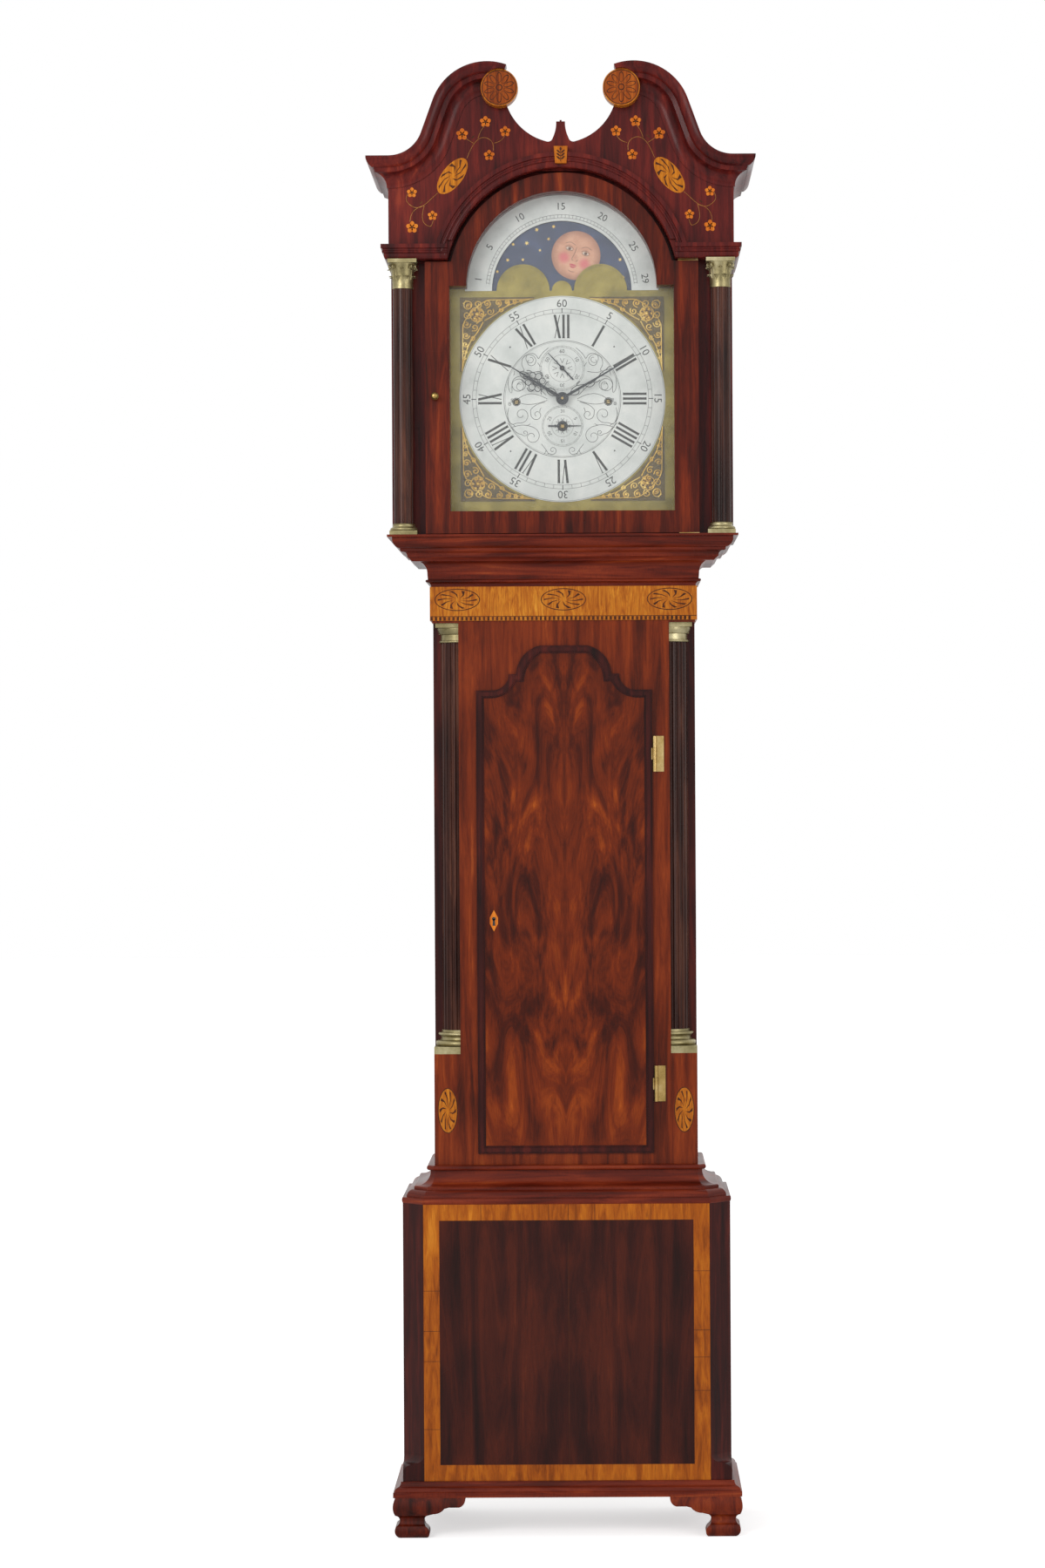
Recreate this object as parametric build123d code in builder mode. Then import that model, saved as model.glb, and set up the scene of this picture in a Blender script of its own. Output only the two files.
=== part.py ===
from build123d import *
import os
from math import atan2, cos, degrees, radians, sin, sqrt

# A longcase clock with a swan-neck hood, a brass moon dial and three weights, in millimetres.
# X runs to the right, the front faces -Y, +Z is up, and the origin is on the floor under the middle.
os.makedirs("parts", exist_ok=True)

# Case: heights above the floor
foot_height = 64.0
foot_rail_height = 24.0
base_height = 439.0
waist_rail_height = 58.0
trunk_height = 926.0
trunk_rail_height = 59.0
base_floor = foot_height + foot_rail_height
base_top = base_floor + base_height
trunk_floor = base_top + waist_rail_height
trunk_top = trunk_floor + trunk_height
hood_floor = trunk_top + trunk_rail_height

# Case: widths and depths
trunk_half = 210.8
trunk_front = -50.0
case_back = 140.0
back_thick = 12.0
board = 15.0
waist_out = 50.7
base_half = trunk_half + waist_out
base_front = trunk_front - waist_out
base_cant = 33.0
foot_rail_out = 15.3
foot_out = 15.5
back_face = case_back - back_thick
fit_gap = 0.3
shaft_gap = 0.05

# Trunk: front frame, corner notches, columns and door
frame_thick = 20.0
notch = 42.0
notch_wall = 12.0
plinth_block_top = 762.5
column_plinth_height = 11.5
column_base_height = 26.0
column_radius = 30.0
column_height = 622.0
column_capital_height = 24.0
abacus_height = 7.0
flute_radius = 2.4
trunk_flutes = 6
frieze_height = 54.4
frieze_proud = 3.2
door_half = 141.0
door_bottom = 603.0
door_shoulder = 1344.8
door_cove_radius = 26.0
door_cove_half = 114.5
door_step_half = 76.5
door_arc_rise = 45.5
door_arc_half = 37.7
door_lip = 10.0
door_gap = 0.8
edging_width = 12.6
edging_thick = 8.0
edging_roll = 1.7
door_thick = 17.0
door_field_proud = 3.0

# Hood: sides, mask, door and entablature
hood_half = 272.0
hood_board = 14.0
hood_front = -71.5
hood_slide_gap = 3.2
hood_rail_height = 21.0
hood_rail_out = 19.6
hood_deck = hood_floor + hood_rail_height
mask_back = -51.5
spring_line = 2028.0
arch_centre = 1987.0
arch_radius = 185.5
arch_rail_width = 23.5
tympanum_front = -106.0
tympanum_thick = 16.0
tympanum_half = 274.2
hood_top = 2180.0
roof_thick = 10.0
sight_half = 178.7
sight_bottom = 1629.0
sight_top = 1987.5
sight_arch_radius = 151.5
sight_arch_centre = 1986.0
hood_door_half = 217.5
hood_door_thick = 22.0
hood_door_gap = 2.6
hood_door_arch_gap = 5.5
glass_thick = 2.0
glass_lap = 6.0
column_x = 252.5
column_y = -95.5
hood_column_radius = 15.5
hood_plinth_height = 6.4
hood_base_height = 11.2
hood_capital_height = 46.0
hood_flutes = 16

# Swan neck: outer line of the cornice, seen from the front
cornice_out = 34.0
cornice_width = 47.0
cornice_top = 2188.0
cove_radius = 55.0
cove_turn = 70.0
neck_straight = 55.0
crest_radius = 91.3
crest_end = 70.3
rosette_radius = 29.4
rosette_x = 96.6
rosette_z = 2296.3
rosette_thick = 22.0

# Dial and hands
dial_z = 1811.0
plate_front = -50.0
plate_thick = 2.5
plate_half = 184.0
plate_margin = 5.5
disc_radius = 165.0
disc_thick = 1.5
ring_inner = 111.8
ring_outer = 155.0
hump_radius = 42.5
hump_x = 62.0
centre_hump_radius = 16.0
moon_disc_radius = 117.0
moon_disc_y = -46.5
moon_disc_thick = 1.5
side_winding_x = 73.6
side_winding_z = dial_z - 4.5
centre_winding_z = dial_z - 43.4
winding_hole_radius = 5.4
seconds_z = dial_z + 49.2
spandrel_half = 163.3
spandrel_leg = 119.0
spandrel_thick = 2.0
spandrel_gap = 3.0
hour_hand_y = -58.0
minute_hand_y = -62.0
hand_thick = 1.0
hour_hand_length = 101.0
hour_hand_turn = -302.0
minute_hand_length = 138.0
minute_hand_turn = -60.0
hand_hub_radius = 10.0
seconds_hand_length = 33.0
seconds_hand_tail = 26.0
seconds_hand_turn = 43.0
date_hand_length = 30.0
date_hand_tail = 23.0

# Movement
seat_top = 1720.0
seat_thick = 20.0
seat_front = -40.0
plate_y = -12.0
back_plate_y = 50.0
movement_plate = 3.0
movement_half = 105.0
movement_height = 185.0
pillar_radius = 5.0
pillar_x = 92.0
pillar_inset = 15.0
drum_radius = 22.0
drum_front = 2.0
drum_back = 34.0
flange_radius = 27.0
flange_thick = 2.0
great_wheel_radius = 38.5
great_wheel_y = -6.0
wheel_thick = 2.5
arbor_radius = 2.5
winding_square = 5.0
anchor_z = 1895.0
pendulum_y = 78.0
pendulum_length = 994.0
bob_radius = 65.0
bob_thick = 28.0
rod_radius = 3.0

# Weights, lines and pulleys
line_radius = 1.2
line_y = 18.0
pulley_radius = 16.0
pulley_flange = 19.5
pulley_half = 4.5
pulley_rest = 1300.0
weight_radius = 31.0
weight_height = 170.0
weight_drop = 48.0


def outline(start, steps):
    """Draw an outline in the current line: a pair is a straight end, two pairs are an arc."""
    here = start
    for step in steps:
        if isinstance(step[0], tuple):
            ThreePointArc(here, step[0], step[1])
            here = step[1]
        else:
            Line(here, step)
            here = step


def wrap_rail(half, front, back, cant, start, steps):
    """Run a moulding round the front and sides of a box: sections are (out, up) from its face."""
    corners = [(half, back), (half, front + cant), (half - cant, front)]
    if cant == 0:
        corners = [(half, back), (half, front)]
    mirrored = [(-x, y) for x, y in reversed(corners)]
    with BuildPart() as rail:
        with BuildLine() as route:
            Polyline(corners + mirrored)
        with BuildSketch(Plane(origin=(half, back, 0), x_dir=(1, 0, 0), z_dir=(0, -1, 0))):
            with BuildLine():
                outline(start, steps)
            make_face()
        sweep(path=route.line, transition=Transition.RIGHT)
    return rail


def column(x, y, bottom, height, radius, flutes, flute, turn=0.0):
    """Turn a shaft and cut its flutes."""
    with BuildPart() as shaft:
        with BuildSketch(Plane.XY.offset(bottom)):
            with Locations((x, y)):
                Circle(radius)
                with PolarLocations(radius, flutes, start_angle=turn):
                    Circle(flute, mode=Mode.SUBTRACT)
        extrude(amount=height)
    return shaft.part


def wheel(x, z, y, thick, radius, teeth, depth):
    """Cut a toothed wheel on an axis that runs front to back."""
    with BuildPart() as disc:
        with BuildSketch(Plane(origin=(x, y, z), x_dir=(1, 0, 0), z_dir=(0, 1, 0))):
            Circle(radius)
            with PolarLocations(radius, teeth):
                Rectangle(2 * depth, pi_width(radius, teeth), mode=Mode.SUBTRACT)
        extrude(amount=thick)
    return disc.part


def pi_width(radius, teeth):
    """Give the width of the gap between two teeth, half of the pitch."""
    return 3.1416 * radius / teeth


def rod(x, z, y_from, y_to, radius):
    """Turn a round rod that runs front to back."""
    with BuildPart() as turned:
        with BuildSketch(Plane(origin=(x, y_from, z), x_dir=(1, 0, 0), z_dir=(0, 1, 0))):
            Circle(radius)
        extrude(amount=y_to - y_from)
    return turned.part


def front_plane(y):
    """A drawing plane at depth y: its X is the clock's X and its Y is up, and it extrudes forwards."""
    return Plane(origin=(0, y, 0), x_dir=(1, 0, 0), z_dir=(0, -1, 0))


# Bracket feet: an ogee outline seen from the front, crossed with the same outline seen from the side
foot_corner = base_half + foot_out
foot_front = base_front - foot_out - 3.8
foot_wall = 24.0


def foot_outline(corner, way):
    """Draw the bracket: ogee face, sole, inner scroll and wing; way is the side it faces."""

    def at(inward, up):
        return (corner - way * inward, up)

    outline(
        at(3.8, foot_height),
        [
            (at(0, 46), at(3.5, 36)),
            (at(10.5, 27.5), at(5, 19)),
            (at(2.8, 12.4), at(10, 0)),
            at(54.3, 0),
            (at(58, 8), at(54, 17)),
            (at(49, 26), at(54, 36)),
            at(63.6, 38.6),
            (at(74, 41), at(81.6, 47.5)),
            at(88.5, 49.3),
            at(105, 49.3),
            (at(112, 54), at(114.7, foot_height)),
            at(3.8, foot_height),
        ],
    )


def bracket_foot(side, end):
    """Make one foot: side is -1 or 1 for left or right, end is -1 or 1 for front or back."""
    depth_corner = foot_front if end < 0 else case_back
    with BuildPart() as foot:
        with BuildSketch(front_plane(0)):
            with BuildLine():
                foot_outline(side * foot_corner, side)
            make_face()
        extrude(amount=foot_corner, both=True)
        with BuildSketch(Plane(origin=(0, 0, 0), x_dir=(0, 1, 0), z_dir=(1, 0, 0))):
            if end < 0:
                with BuildLine():
                    foot_outline(depth_corner, -1)
                make_face()
            else:
                with BuildLine():
                    outline(
                        (case_back, 0),
                        [
                            (case_back - 54.3, 0),
                            ((case_back - 58, 8), (case_back - 54, 17)),
                            ((case_back - 49, 26), (case_back - 54, 36)),
                            (case_back - 63.6, 38.6),
                            (case_back - 114.7, foot_height),
                            (case_back, foot_height),
                            (case_back, 0),
                        ],
                    )
                make_face()
        extrude(amount=2 * foot_corner, both=True, mode=Mode.INTERSECT)
        inner_x = side * (foot_corner - 10 - foot_wall)
        inner_y = depth_corner - end * (10 + foot_wall)
        with Locations((inner_x, inner_y, 0)):
            Box(
                2 * foot_corner,
                2 * foot_corner,
                foot_height,
                align=(
                    Align.MAX if side > 0 else Align.MIN,
                    Align.MIN if end < 0 else Align.MAX,
                    Align.MIN,
                ),
                mode=Mode.SUBTRACT,
            )
    return foot.part


with BuildPart() as bracket_feet:
    for side in (-1, 1):
        for end in (-1, 1):
            add(bracket_foot(side, end))
bracket_feet.part.label = "bracket_feet"
export_step(bracket_feet.part, "parts/bracket_feet.step")

# Foot rail: the ogee moulding that the base box stands on, mitred at the front corners
foot_rail = wrap_rail(
    base_half,
    base_front,
    case_back,
    0,
    (-42, foot_height),
    [
        (foot_rail_out, foot_height),
        (foot_rail_out, foot_height + 8),
        (foot_rail_out - 2, foot_height + 9),
        ((foot_rail_out - 3.5, foot_height + 13), (foot_rail_out - 7, foot_height + 15.5)),
        ((foot_rail_out - 10.5, foot_height + 18), (foot_rail_out - 12, base_floor - 2)),
        (foot_rail_out - 12, base_floor),
        (-42, base_floor),
        (-42, foot_height),
    ],
)
foot_rail.part.label = "foot_rail"
export_step(foot_rail.part, "parts/foot_rail.step")

# Base box: a front panel, two canted corners with a tongue stop, side boards and a bottom board
front_half = base_half - base_cant
cant_inner = base_cant - board
stop_low = base_floor + 10
stop_high = stop_low + 34

with BuildPart() as base_front_panel:
    with BuildSketch(Plane.XY.offset(base_floor)):
        with Locations((0, base_front)):
            Rectangle(2 * front_half, board, align=(Align.CENTER, Align.MIN))
    extrude(amount=base_height)
base_front_panel.part.label = "base_front_panel"
export_step(base_front_panel.part, "parts/base_front_panel.step")

with BuildPart() as base_corners:
    with BuildSketch(Plane.XY.offset(base_floor)):
        with BuildLine():
            Polyline(
                (front_half, base_front),
                (base_half, base_front),
                (base_half, base_front + base_cant),
                (base_half - board, base_front + base_cant),
                (front_half, base_front + board),
                close=True,
            )
        make_face()
    extrude(amount=base_height)
    cant_middle = (base_half - base_cant / 2, base_front + base_cant / 2, 0)
    deep = base_cant / sqrt(2)
    with BuildSketch(Plane(origin=cant_middle, x_dir=(1, -1, 0), z_dir=(-1, -1, 0))):
        with BuildLine():
            outline(
                (0, base_top + 1),
                [
                    (0, stop_high),
                    ((deep * 0.12, stop_high - 12), (deep * 0.5, (stop_low + stop_high) / 2)),
                    ((deep * 0.88, stop_low + 12), (deep, stop_low)),
                    (deep + 5, stop_low),
                    (deep + 5, base_top + 1),
                    (0, base_top + 1),
                ],
            )
        make_face()
    extrude(amount=base_cant, both=True, mode=Mode.SUBTRACT)
    mirror(about=Plane.YZ)
base_corners.part.label = "base_corners"
export_step(base_corners.part, "parts/base_corners.step")

with BuildPart() as base_carcase:
    with BuildSketch(Plane.XY.offset(base_floor)):
        with Locations((base_half, base_front + base_cant)):
            side_depth = case_back - base_front - base_cant
            Rectangle(board, side_depth, align=(Align.MAX, Align.MIN))
        mirror(about=Plane.YZ)
    extrude(amount=base_height)
    with BuildSketch(Plane.XY.offset(base_floor)):
        with BuildLine():
            Polyline(
                (-front_half, base_front + board),
                (front_half, base_front + board),
                (base_half - board, base_front + base_cant),
                (base_half - board, back_face),
                (board - base_half, back_face),
                (board - base_half, base_front + base_cant),
                close=True,
            )
        make_face()
    extrude(amount=board)
base_carcase.part.label = "base_carcase"
export_step(base_carcase.part, "parts/base_carcase.step")

# Waist rail: bead, cavetto, ovolo and bead, canted at the corners, between trunk and base
waist_cant = base_cant - waist_out * (2 - sqrt(2))
waist_bead = 10.8
waist_rail = wrap_rail(
    trunk_half,
    trunk_front,
    case_back,
    waist_cant,
    (0, base_top),
    [
        (waist_out, base_top),
        ((waist_out + 1.4, base_top + 4.5), (waist_out, base_top + 9)),
        (waist_out - 6, base_top + 9),
        ((waist_out - 10, base_top + 18), (waist_out - 18, base_top + 21)),
        (waist_out - 18, base_top + 25),
        (waist_out - 20, base_top + 26.4),
        ((waist_out - 38, base_top + 33), (waist_bead - 4, trunk_floor - 8.5)),
        (waist_bead, trunk_floor - 7.5),
        ((waist_bead + 2, trunk_floor - 3.8), (waist_bead - 2, trunk_floor)),
        (0, trunk_floor),
        (0, base_top),
    ],
)
waist_rail.part.label = "waist_rail"
export_step(waist_rail.part, "parts/waist_rail.step")

# Backboard: one board from the base to the hood, wider in the base and behind the movement
backboard_top = hood_top - roof_thick - 2
ear_half = hood_half - hood_board - 2
with BuildPart() as backboard:
    with BuildSketch(front_plane(back_face)):
        with BuildLine():
            Polyline(
                (base_half - board, base_floor),
                (base_half - board, base_top),
                (trunk_half - board, base_top),
                (trunk_half - board, seat_top - seat_thick),
                (trunk_half, seat_top - seat_thick),
                (trunk_half, hood_deck + 140),
                (ear_half, hood_deck + 140),
                (ear_half, backboard_top),
                (0, backboard_top),
                (0, base_floor),
                close=True,
            )
        make_face()
        mirror(about=Plane.YZ)
    extrude(amount=-back_thick)
backboard.part.label = "backboard"
export_step(backboard.part, "parts/backboard.step")

# Trunk sides: a side board that carries the movement, joined to the two walls of a corner notch
notch_x = trunk_half - notch
notch_y = trunk_front + notch
frame_back = trunk_front + frame_thick
seat_bottom = seat_top - seat_thick

with BuildPart() as trunk_sides:
    with BuildSketch(Plane.XY.offset(base_top)):
        with BuildLine():
            Polyline(
                (trunk_half, notch_y),
                (trunk_half, case_back),
                (trunk_half - board, case_back),
                (trunk_half - board, notch_y + notch_wall),
                (notch_x - notch_wall, notch_y + notch_wall),
                (notch_x - notch_wall, frame_back),
                (notch_x, frame_back),
                (notch_x, notch_y),
                close=True,
            )
        make_face()
        mirror(about=Plane.YZ)
    extrude(amount=hood_floor - base_top)
    with BuildSketch(Plane.XY.offset(hood_floor)):
        with Locations((trunk_half, notch_y)):
            Rectangle(board, case_back - notch_y, align=(Align.MAX, Align.MIN))
        mirror(about=Plane.YZ)
    extrude(amount=seat_bottom - hood_floor)
trunk_sides.part.label = "trunk_sides"
export_step(trunk_sides.part, "parts/trunk_sides.step")


def door_face(y, inset):
    """Give the face of the shaped door at depth y, drawn in by inset all round."""
    cove_z = door_shoulder + door_cove_radius
    cove = door_cove_radius + inset
    slant = cove * sqrt(0.5)
    cove_x = door_cove_half
    arc_low = cove_z - inset
    arc_start = (door_step_half - inset, arc_low)
    arc_mid = (door_step_half - 11.9 - 0.8 * inset, arc_low + 29.6)
    arc_end = (door_arc_half, arc_low + door_arc_rise)
    edge = door_half - inset
    half = [
        (edge, door_bottom + inset),
        (edge, door_shoulder - inset),
        (cove_x, door_shoulder - inset),
        ((cove_x - slant, cove_z - slant), (cove_x - cove, cove_z - inset)),
        arc_start,
        (arc_mid, arc_end),
    ]
    left = [
        (-door_arc_half, arc_low + door_arc_rise),
        ((-arc_mid[0], arc_mid[1]), (-arc_start[0], arc_low)),
        (cove - cove_x, cove_z - inset),
        ((slant - cove_x, cove_z - slant), (-cove_x, door_shoulder - inset)),
        (-edge, door_shoulder - inset),
        (-edge, door_bottom + inset),
        (0, door_bottom + inset),
    ]
    with BuildSketch(front_plane(y)) as face:
        with BuildLine():
            outline((0, door_bottom + inset), half + left)
        make_face()
    return face.sketch


# Trunk front: two stiles and two rails round the shaped door opening, from the base to the hood
with BuildPart() as trunk_front_frame:
    with BuildSketch(front_plane(trunk_front)):
        with Locations((0, base_top)):
            Rectangle(2 * notch_x, hood_floor - base_top, align=(Align.CENTER, Align.MIN))
    extrude(amount=-frame_thick)
    extrude(door_face(trunk_front, door_lip), amount=-frame_thick, mode=Mode.SUBTRACT)
trunk_front_frame.part.label = "trunk_front_frame"
export_step(trunk_front_frame.part, "parts/trunk_front_frame.step")

# Corner blocks: under and over the quarter columns they fill the notch
column_floor = plinth_block_top + column_plinth_height
shaft_floor = column_floor + column_base_height
shaft_top = shaft_floor + column_height
capital_top = shaft_top + column_capital_height
abacus_top = capital_top + abacus_height

with BuildPart() as trunk_corner_blocks:
    with BuildSketch(Plane.XY.offset(base_top)):
        with BuildLine():
            Polyline(
                (notch_x, trunk_front),
                (trunk_half - waist_cant, trunk_front),
                (trunk_half, trunk_front + waist_cant),
                (trunk_half, notch_y),
                (notch_x, notch_y),
                close=True,
            )
        make_face()
        mirror(about=Plane.YZ)
    extrude(amount=waist_rail_height)
    for low, high in ((trunk_floor, plinth_block_top), (abacus_top, hood_floor)):
        with BuildSketch(Plane.XY.offset(low)):
            with Locations((notch_x, trunk_front)):
                Rectangle(notch, notch, align=(Align.MIN, Align.MIN))
            mirror(about=Plane.YZ)
        extrude(amount=high - low)
trunk_corner_blocks.part.label = "trunk_corner_blocks"
export_step(trunk_corner_blocks.part, "parts/trunk_corner_blocks.step")

# Quarter columns: fluted shafts set in the notches, between brass bases and brass capitals
with BuildPart() as trunk_columns:
    with BuildSketch(Plane.XY.offset(shaft_floor)):
        with Locations((notch_x, notch_y)):
            Circle(column_radius)
            with Locations((0, 0)):
                Rectangle(
                    column_radius * 2, column_radius * 2, align=(Align.MAX, Align.CENTER), mode=Mode.SUBTRACT
                )
                Rectangle(
                    column_radius * 2, column_radius * 2, align=(Align.CENTER, Align.MIN), mode=Mode.SUBTRACT
                )
            for count in range(trunk_flutes):
                angle = radians(-90 * (count + 0.5) / trunk_flutes)
                with Locations((column_radius * cos(angle), column_radius * sin(angle))):
                    Circle(flute_radius, mode=Mode.SUBTRACT)
        mirror(about=Plane.YZ)
    extrude(amount=column_height)
trunk_columns.part.label = "trunk_columns"
export_step(trunk_columns.part, "parts/trunk_columns.step")


def quarter_turning(start, steps):
    """Turn a brass in the right-hand notch: sections are (radius, height)."""
    plane = Plane(origin=(notch_x, notch_y, 0), x_dir=(1, 0, 0), z_dir=(0, -1, 0))
    with BuildPart() as brass:
        with BuildSketch(plane):
            with BuildLine():
                outline(start, steps)
            make_face()
        revolve(axis=Axis((notch_x, notch_y, 0), (0, 0, -1)), revolution_arc=90)
    return brass.part


with BuildPart() as trunk_column_brasses:
    ring = column_radius
    base_brass = quarter_turning(
        (0, column_floor),
        [
            (ring + 8, column_floor),
            ((ring + 11, column_floor + 4.5), (ring + 8, column_floor + 9)),
            (ring + 5, column_floor + 9),
            ((ring + 2.5, column_floor + 13), (ring + 5, column_floor + 17)),
            ((ring + 7, column_floor + 19.5), (ring + 5, column_floor + 22)),
            (ring + 1, column_floor + 22),
            (ring + 1, shaft_floor),
            (0, shaft_floor),
            (0, column_floor),
        ],
    )
    add(base_brass)
    capital_brass = quarter_turning(
        (0, shaft_top),
        [
            (ring + 1, shaft_top),
            ((ring + 3, shaft_top + 2), (ring + 1, shaft_top + 4)),
            (ring, shaft_top + 4),
            (ring, shaft_top + 13),
            (ring + 2, shaft_top + 14),
            ((ring + 4.4, shaft_top + 18.5), (ring + 5, capital_top)),
            (0, capital_top),
            (0, shaft_top),
        ],
    )
    add(capital_brass)
    for low, high, wide in (
        (plinth_block_top, column_floor, notch),
        (capital_top, abacus_top, notch - 5),
    ):
        with BuildSketch(Plane.XY.offset(low)):
            with Locations((notch_x, notch_y)):
                Rectangle(wide, wide, align=(Align.MIN, Align.MAX))
        extrude(amount=high - low)
    mirror(about=Plane.YZ)
trunk_column_brasses.part.label = "trunk_column_brasses"
export_step(trunk_column_brasses.part, "parts/trunk_column_brasses.step")

# Frieze: a thin satinwood facing on the front and sides over the column capitals
frieze_floor = trunk_top - frieze_height
frieze = wrap_rail(
    trunk_half,
    trunk_front,
    case_back,
    0,
    (0, frieze_floor),
    [
        (frieze_proud, frieze_floor),
        (frieze_proud, trunk_top),
        (0, trunk_top),
        (0, frieze_floor),
    ],
)
frieze.part.label = "trunk_frieze"
export_step(frieze.part, "parts/trunk_frieze.step")

# Trunk top rail: the cove and cyma that carry the hood
rail_out = 48.2
trunk_top_rail = wrap_rail(
    trunk_half,
    trunk_front,
    case_back,
    0,
    (0, trunk_top),
    [
        (1.2, trunk_top),
        ((3, trunk_top + 5), (8, trunk_top + 7)),
        ((9.6, trunk_top + 9), (8, trunk_top + 11)),
        (6, trunk_top + 11.5),
        (6.8, trunk_top + 21),
        ((9, trunk_top + 31), (17.2, trunk_top + 39.4)),
        (rail_out - 18, trunk_top + 39.4),
        ((rail_out - 14.5, trunk_top + 43), (rail_out - 11, trunk_top + 46)),
        ((rail_out - 8, trunk_top + 53), (rail_out - 2, trunk_top + 54)),
        (rail_out, trunk_top + 56),
        (rail_out, hood_floor),
        (0, hood_floor),
        (0, trunk_top),
    ],
)
trunk_top_rail.part.label = "trunk_top_rail"
export_step(trunk_top_rail.part, "parts/trunk_top_rail.step")

# Trunk door: a thick board in the opening, with a thin field in front and a lipped edging round it
keyhole = (-114.0, 976.0)
door_back = trunk_front + door_thick
with BuildPart() as trunk_door:
    extrude(door_face(trunk_front, door_lip + door_gap), amount=-door_thick)
    extrude(door_face(trunk_front, edging_width), amount=door_field_proud)
    with BuildSketch(front_plane(trunk_front - door_field_proud)):
        with Locations(keyhole):
            Circle(2.6)
        with Locations((keyhole[0], keyhole[1] - 4)):
            Rectangle(2.4, 8)
    extrude(amount=-door_thick - door_field_proud, mode=Mode.SUBTRACT)
trunk_door.part.label = "trunk_door"
export_step(trunk_door.part, "parts/trunk_door.step")

# Hinges: two butt hinges on the right-hand edge, the pin and outer knuckles on the case
hinge_heights = (714.0, 1242.0)
hinge_length = 57.0
knuckle = hinge_length / 3
knuckle_radius = 3.2
pin_radius = 1.2
leaf_thick = 1.4
leaf_width = 15.0
hinge_x = door_half + knuckle_radius + 0.4
hinge_y = trunk_front - knuckle_radius - 0.2
leaf_pocket = leaf_thick + 0.2

edging_steps = (
    (0.0, edging_thick / 2),
    (edging_roll, edging_thick * 0.8),
    (2 * edging_roll, edging_thick),
)
with BuildPart() as trunk_door_edging:
    for inset, height in edging_steps:
        with BuildPart(mode=Mode.PRIVATE) as ring_step:
            extrude(door_face(trunk_front, inset), amount=height)
            extrude(door_face(trunk_front, edging_width - inset), amount=height, mode=Mode.SUBTRACT)
        add(ring_step.part)
    for middle in hinge_heights:
        with Locations((door_half, trunk_front - edging_thick / 2, middle)):
            Box(2 * leaf_pocket, edging_thick, hinge_length, mode=Mode.SUBTRACT)
trunk_door_edging.part.label = "trunk_door_edging"
export_step(trunk_door_edging.part, "parts/trunk_door_edging.step")


def hinge_part(low, high, radius, hole=0.0):
    """Turn a knuckle or a pin on the trunk door's hinge line."""
    with BuildPart() as turned:
        with BuildSketch(Plane.XY.offset(low)):
            with Locations((hinge_x, hinge_y)):
                Circle(radius)
                if hole:
                    Circle(hole, mode=Mode.SUBTRACT)
        extrude(amount=high - low)
    return turned.part


with BuildPart() as trunk_case_hinges:
    for middle in hinge_heights:
        low = middle - hinge_length / 2
        with Locations((hinge_x, trunk_front, middle)):
            Box(leaf_width, leaf_thick, hinge_length, align=(Align.MIN, Align.MAX, Align.CENTER))
        with Locations((hinge_x, trunk_front, middle)):
            Box(
                2 * knuckle_radius + 0.8,
                leaf_thick + 0.6,
                knuckle + 2 * fit_gap,
                align=(Align.CENTER, Align.MAX, Align.CENTER),
                mode=Mode.SUBTRACT,
            )
        for start in (low, low + 2 * knuckle):
            add(hinge_part(start, start + knuckle, knuckle_radius))
        add(hinge_part(low, low + hinge_length, pin_radius))
trunk_case_hinges.part.label = "trunk_case_hinges"
export_step(trunk_case_hinges.part, "parts/trunk_case_hinges.step")

# Door brasses: the moving hinge leaves in the edging's pockets, and the lock box behind the door
lock_width = 24.0
lock_height = 46.0
lock_thick = 11.0
lock_left = keyhole[0] - 12
bolt_height = 12.0
bolt_thick = 4.0
bolt_travel = 10.0

with BuildPart() as trunk_door_brasses:
    for middle in hinge_heights:
        with Locations((door_half - leaf_thick / 2, trunk_front - edging_thick / 2, middle)):
            Box(leaf_thick, edging_thick - 1, knuckle - 2 * fit_gap)
        with Locations((door_half - leaf_thick, hinge_y, middle)):
            Box(
                hinge_x - door_half + leaf_thick,
                2.0,
                knuckle - 2 * fit_gap,
                align=(Align.MIN, Align.CENTER, Align.CENTER),
            )
        low = middle - knuckle / 2 + fit_gap
        high = middle + knuckle / 2 - fit_gap
        add(hinge_part(low, high, knuckle_radius))
        with BuildSketch(Plane.XY.offset(low - 1)):
            with Locations((hinge_x, hinge_y)):
                Circle(pin_radius + shaft_gap)
        extrude(amount=high - low + 2, mode=Mode.SUBTRACT)
    with Locations((lock_left, door_back, keyhole[1])):
        Box(lock_width, lock_thick, lock_height, align=(Align.MIN, Align.MIN, Align.CENTER))
    with Locations((lock_left - 1, door_back + lock_thick / 2, keyhole[1])):
        Box(
            lock_width,
            bolt_thick + 2 * fit_gap,
            bolt_height + 2 * fit_gap,
            align=(Align.MIN, Align.CENTER, Align.CENTER),
            mode=Mode.SUBTRACT,
        )
    with BuildSketch(front_plane(door_back)):
        with Locations((keyhole[0], keyhole[1] - 4)):
            Rectangle(2.4, 8)
        with Locations(keyhole):
            Circle(2.6)
    extrude(amount=-lock_thick / 2 + bolt_thick / 2, mode=Mode.SUBTRACT)
trunk_door_brasses.part.label = "trunk_door_brasses"
export_step(trunk_door_brasses.part, "parts/trunk_door_brasses.step")

# Lock bolt: slides out of the lock box behind the frame's stile; it rests drawn in
with BuildPart() as lock_bolt:
    with Locations((lock_left, door_back + lock_thick / 2, keyhole[1])):
        Box(lock_width - 3, bolt_thick, bolt_height, align=(Align.MIN, Align.CENTER, Align.CENTER))
lock_bolt.part.label = "lock_bolt"
export_step(lock_bolt.part, "parts/lock_bolt.step")

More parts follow.
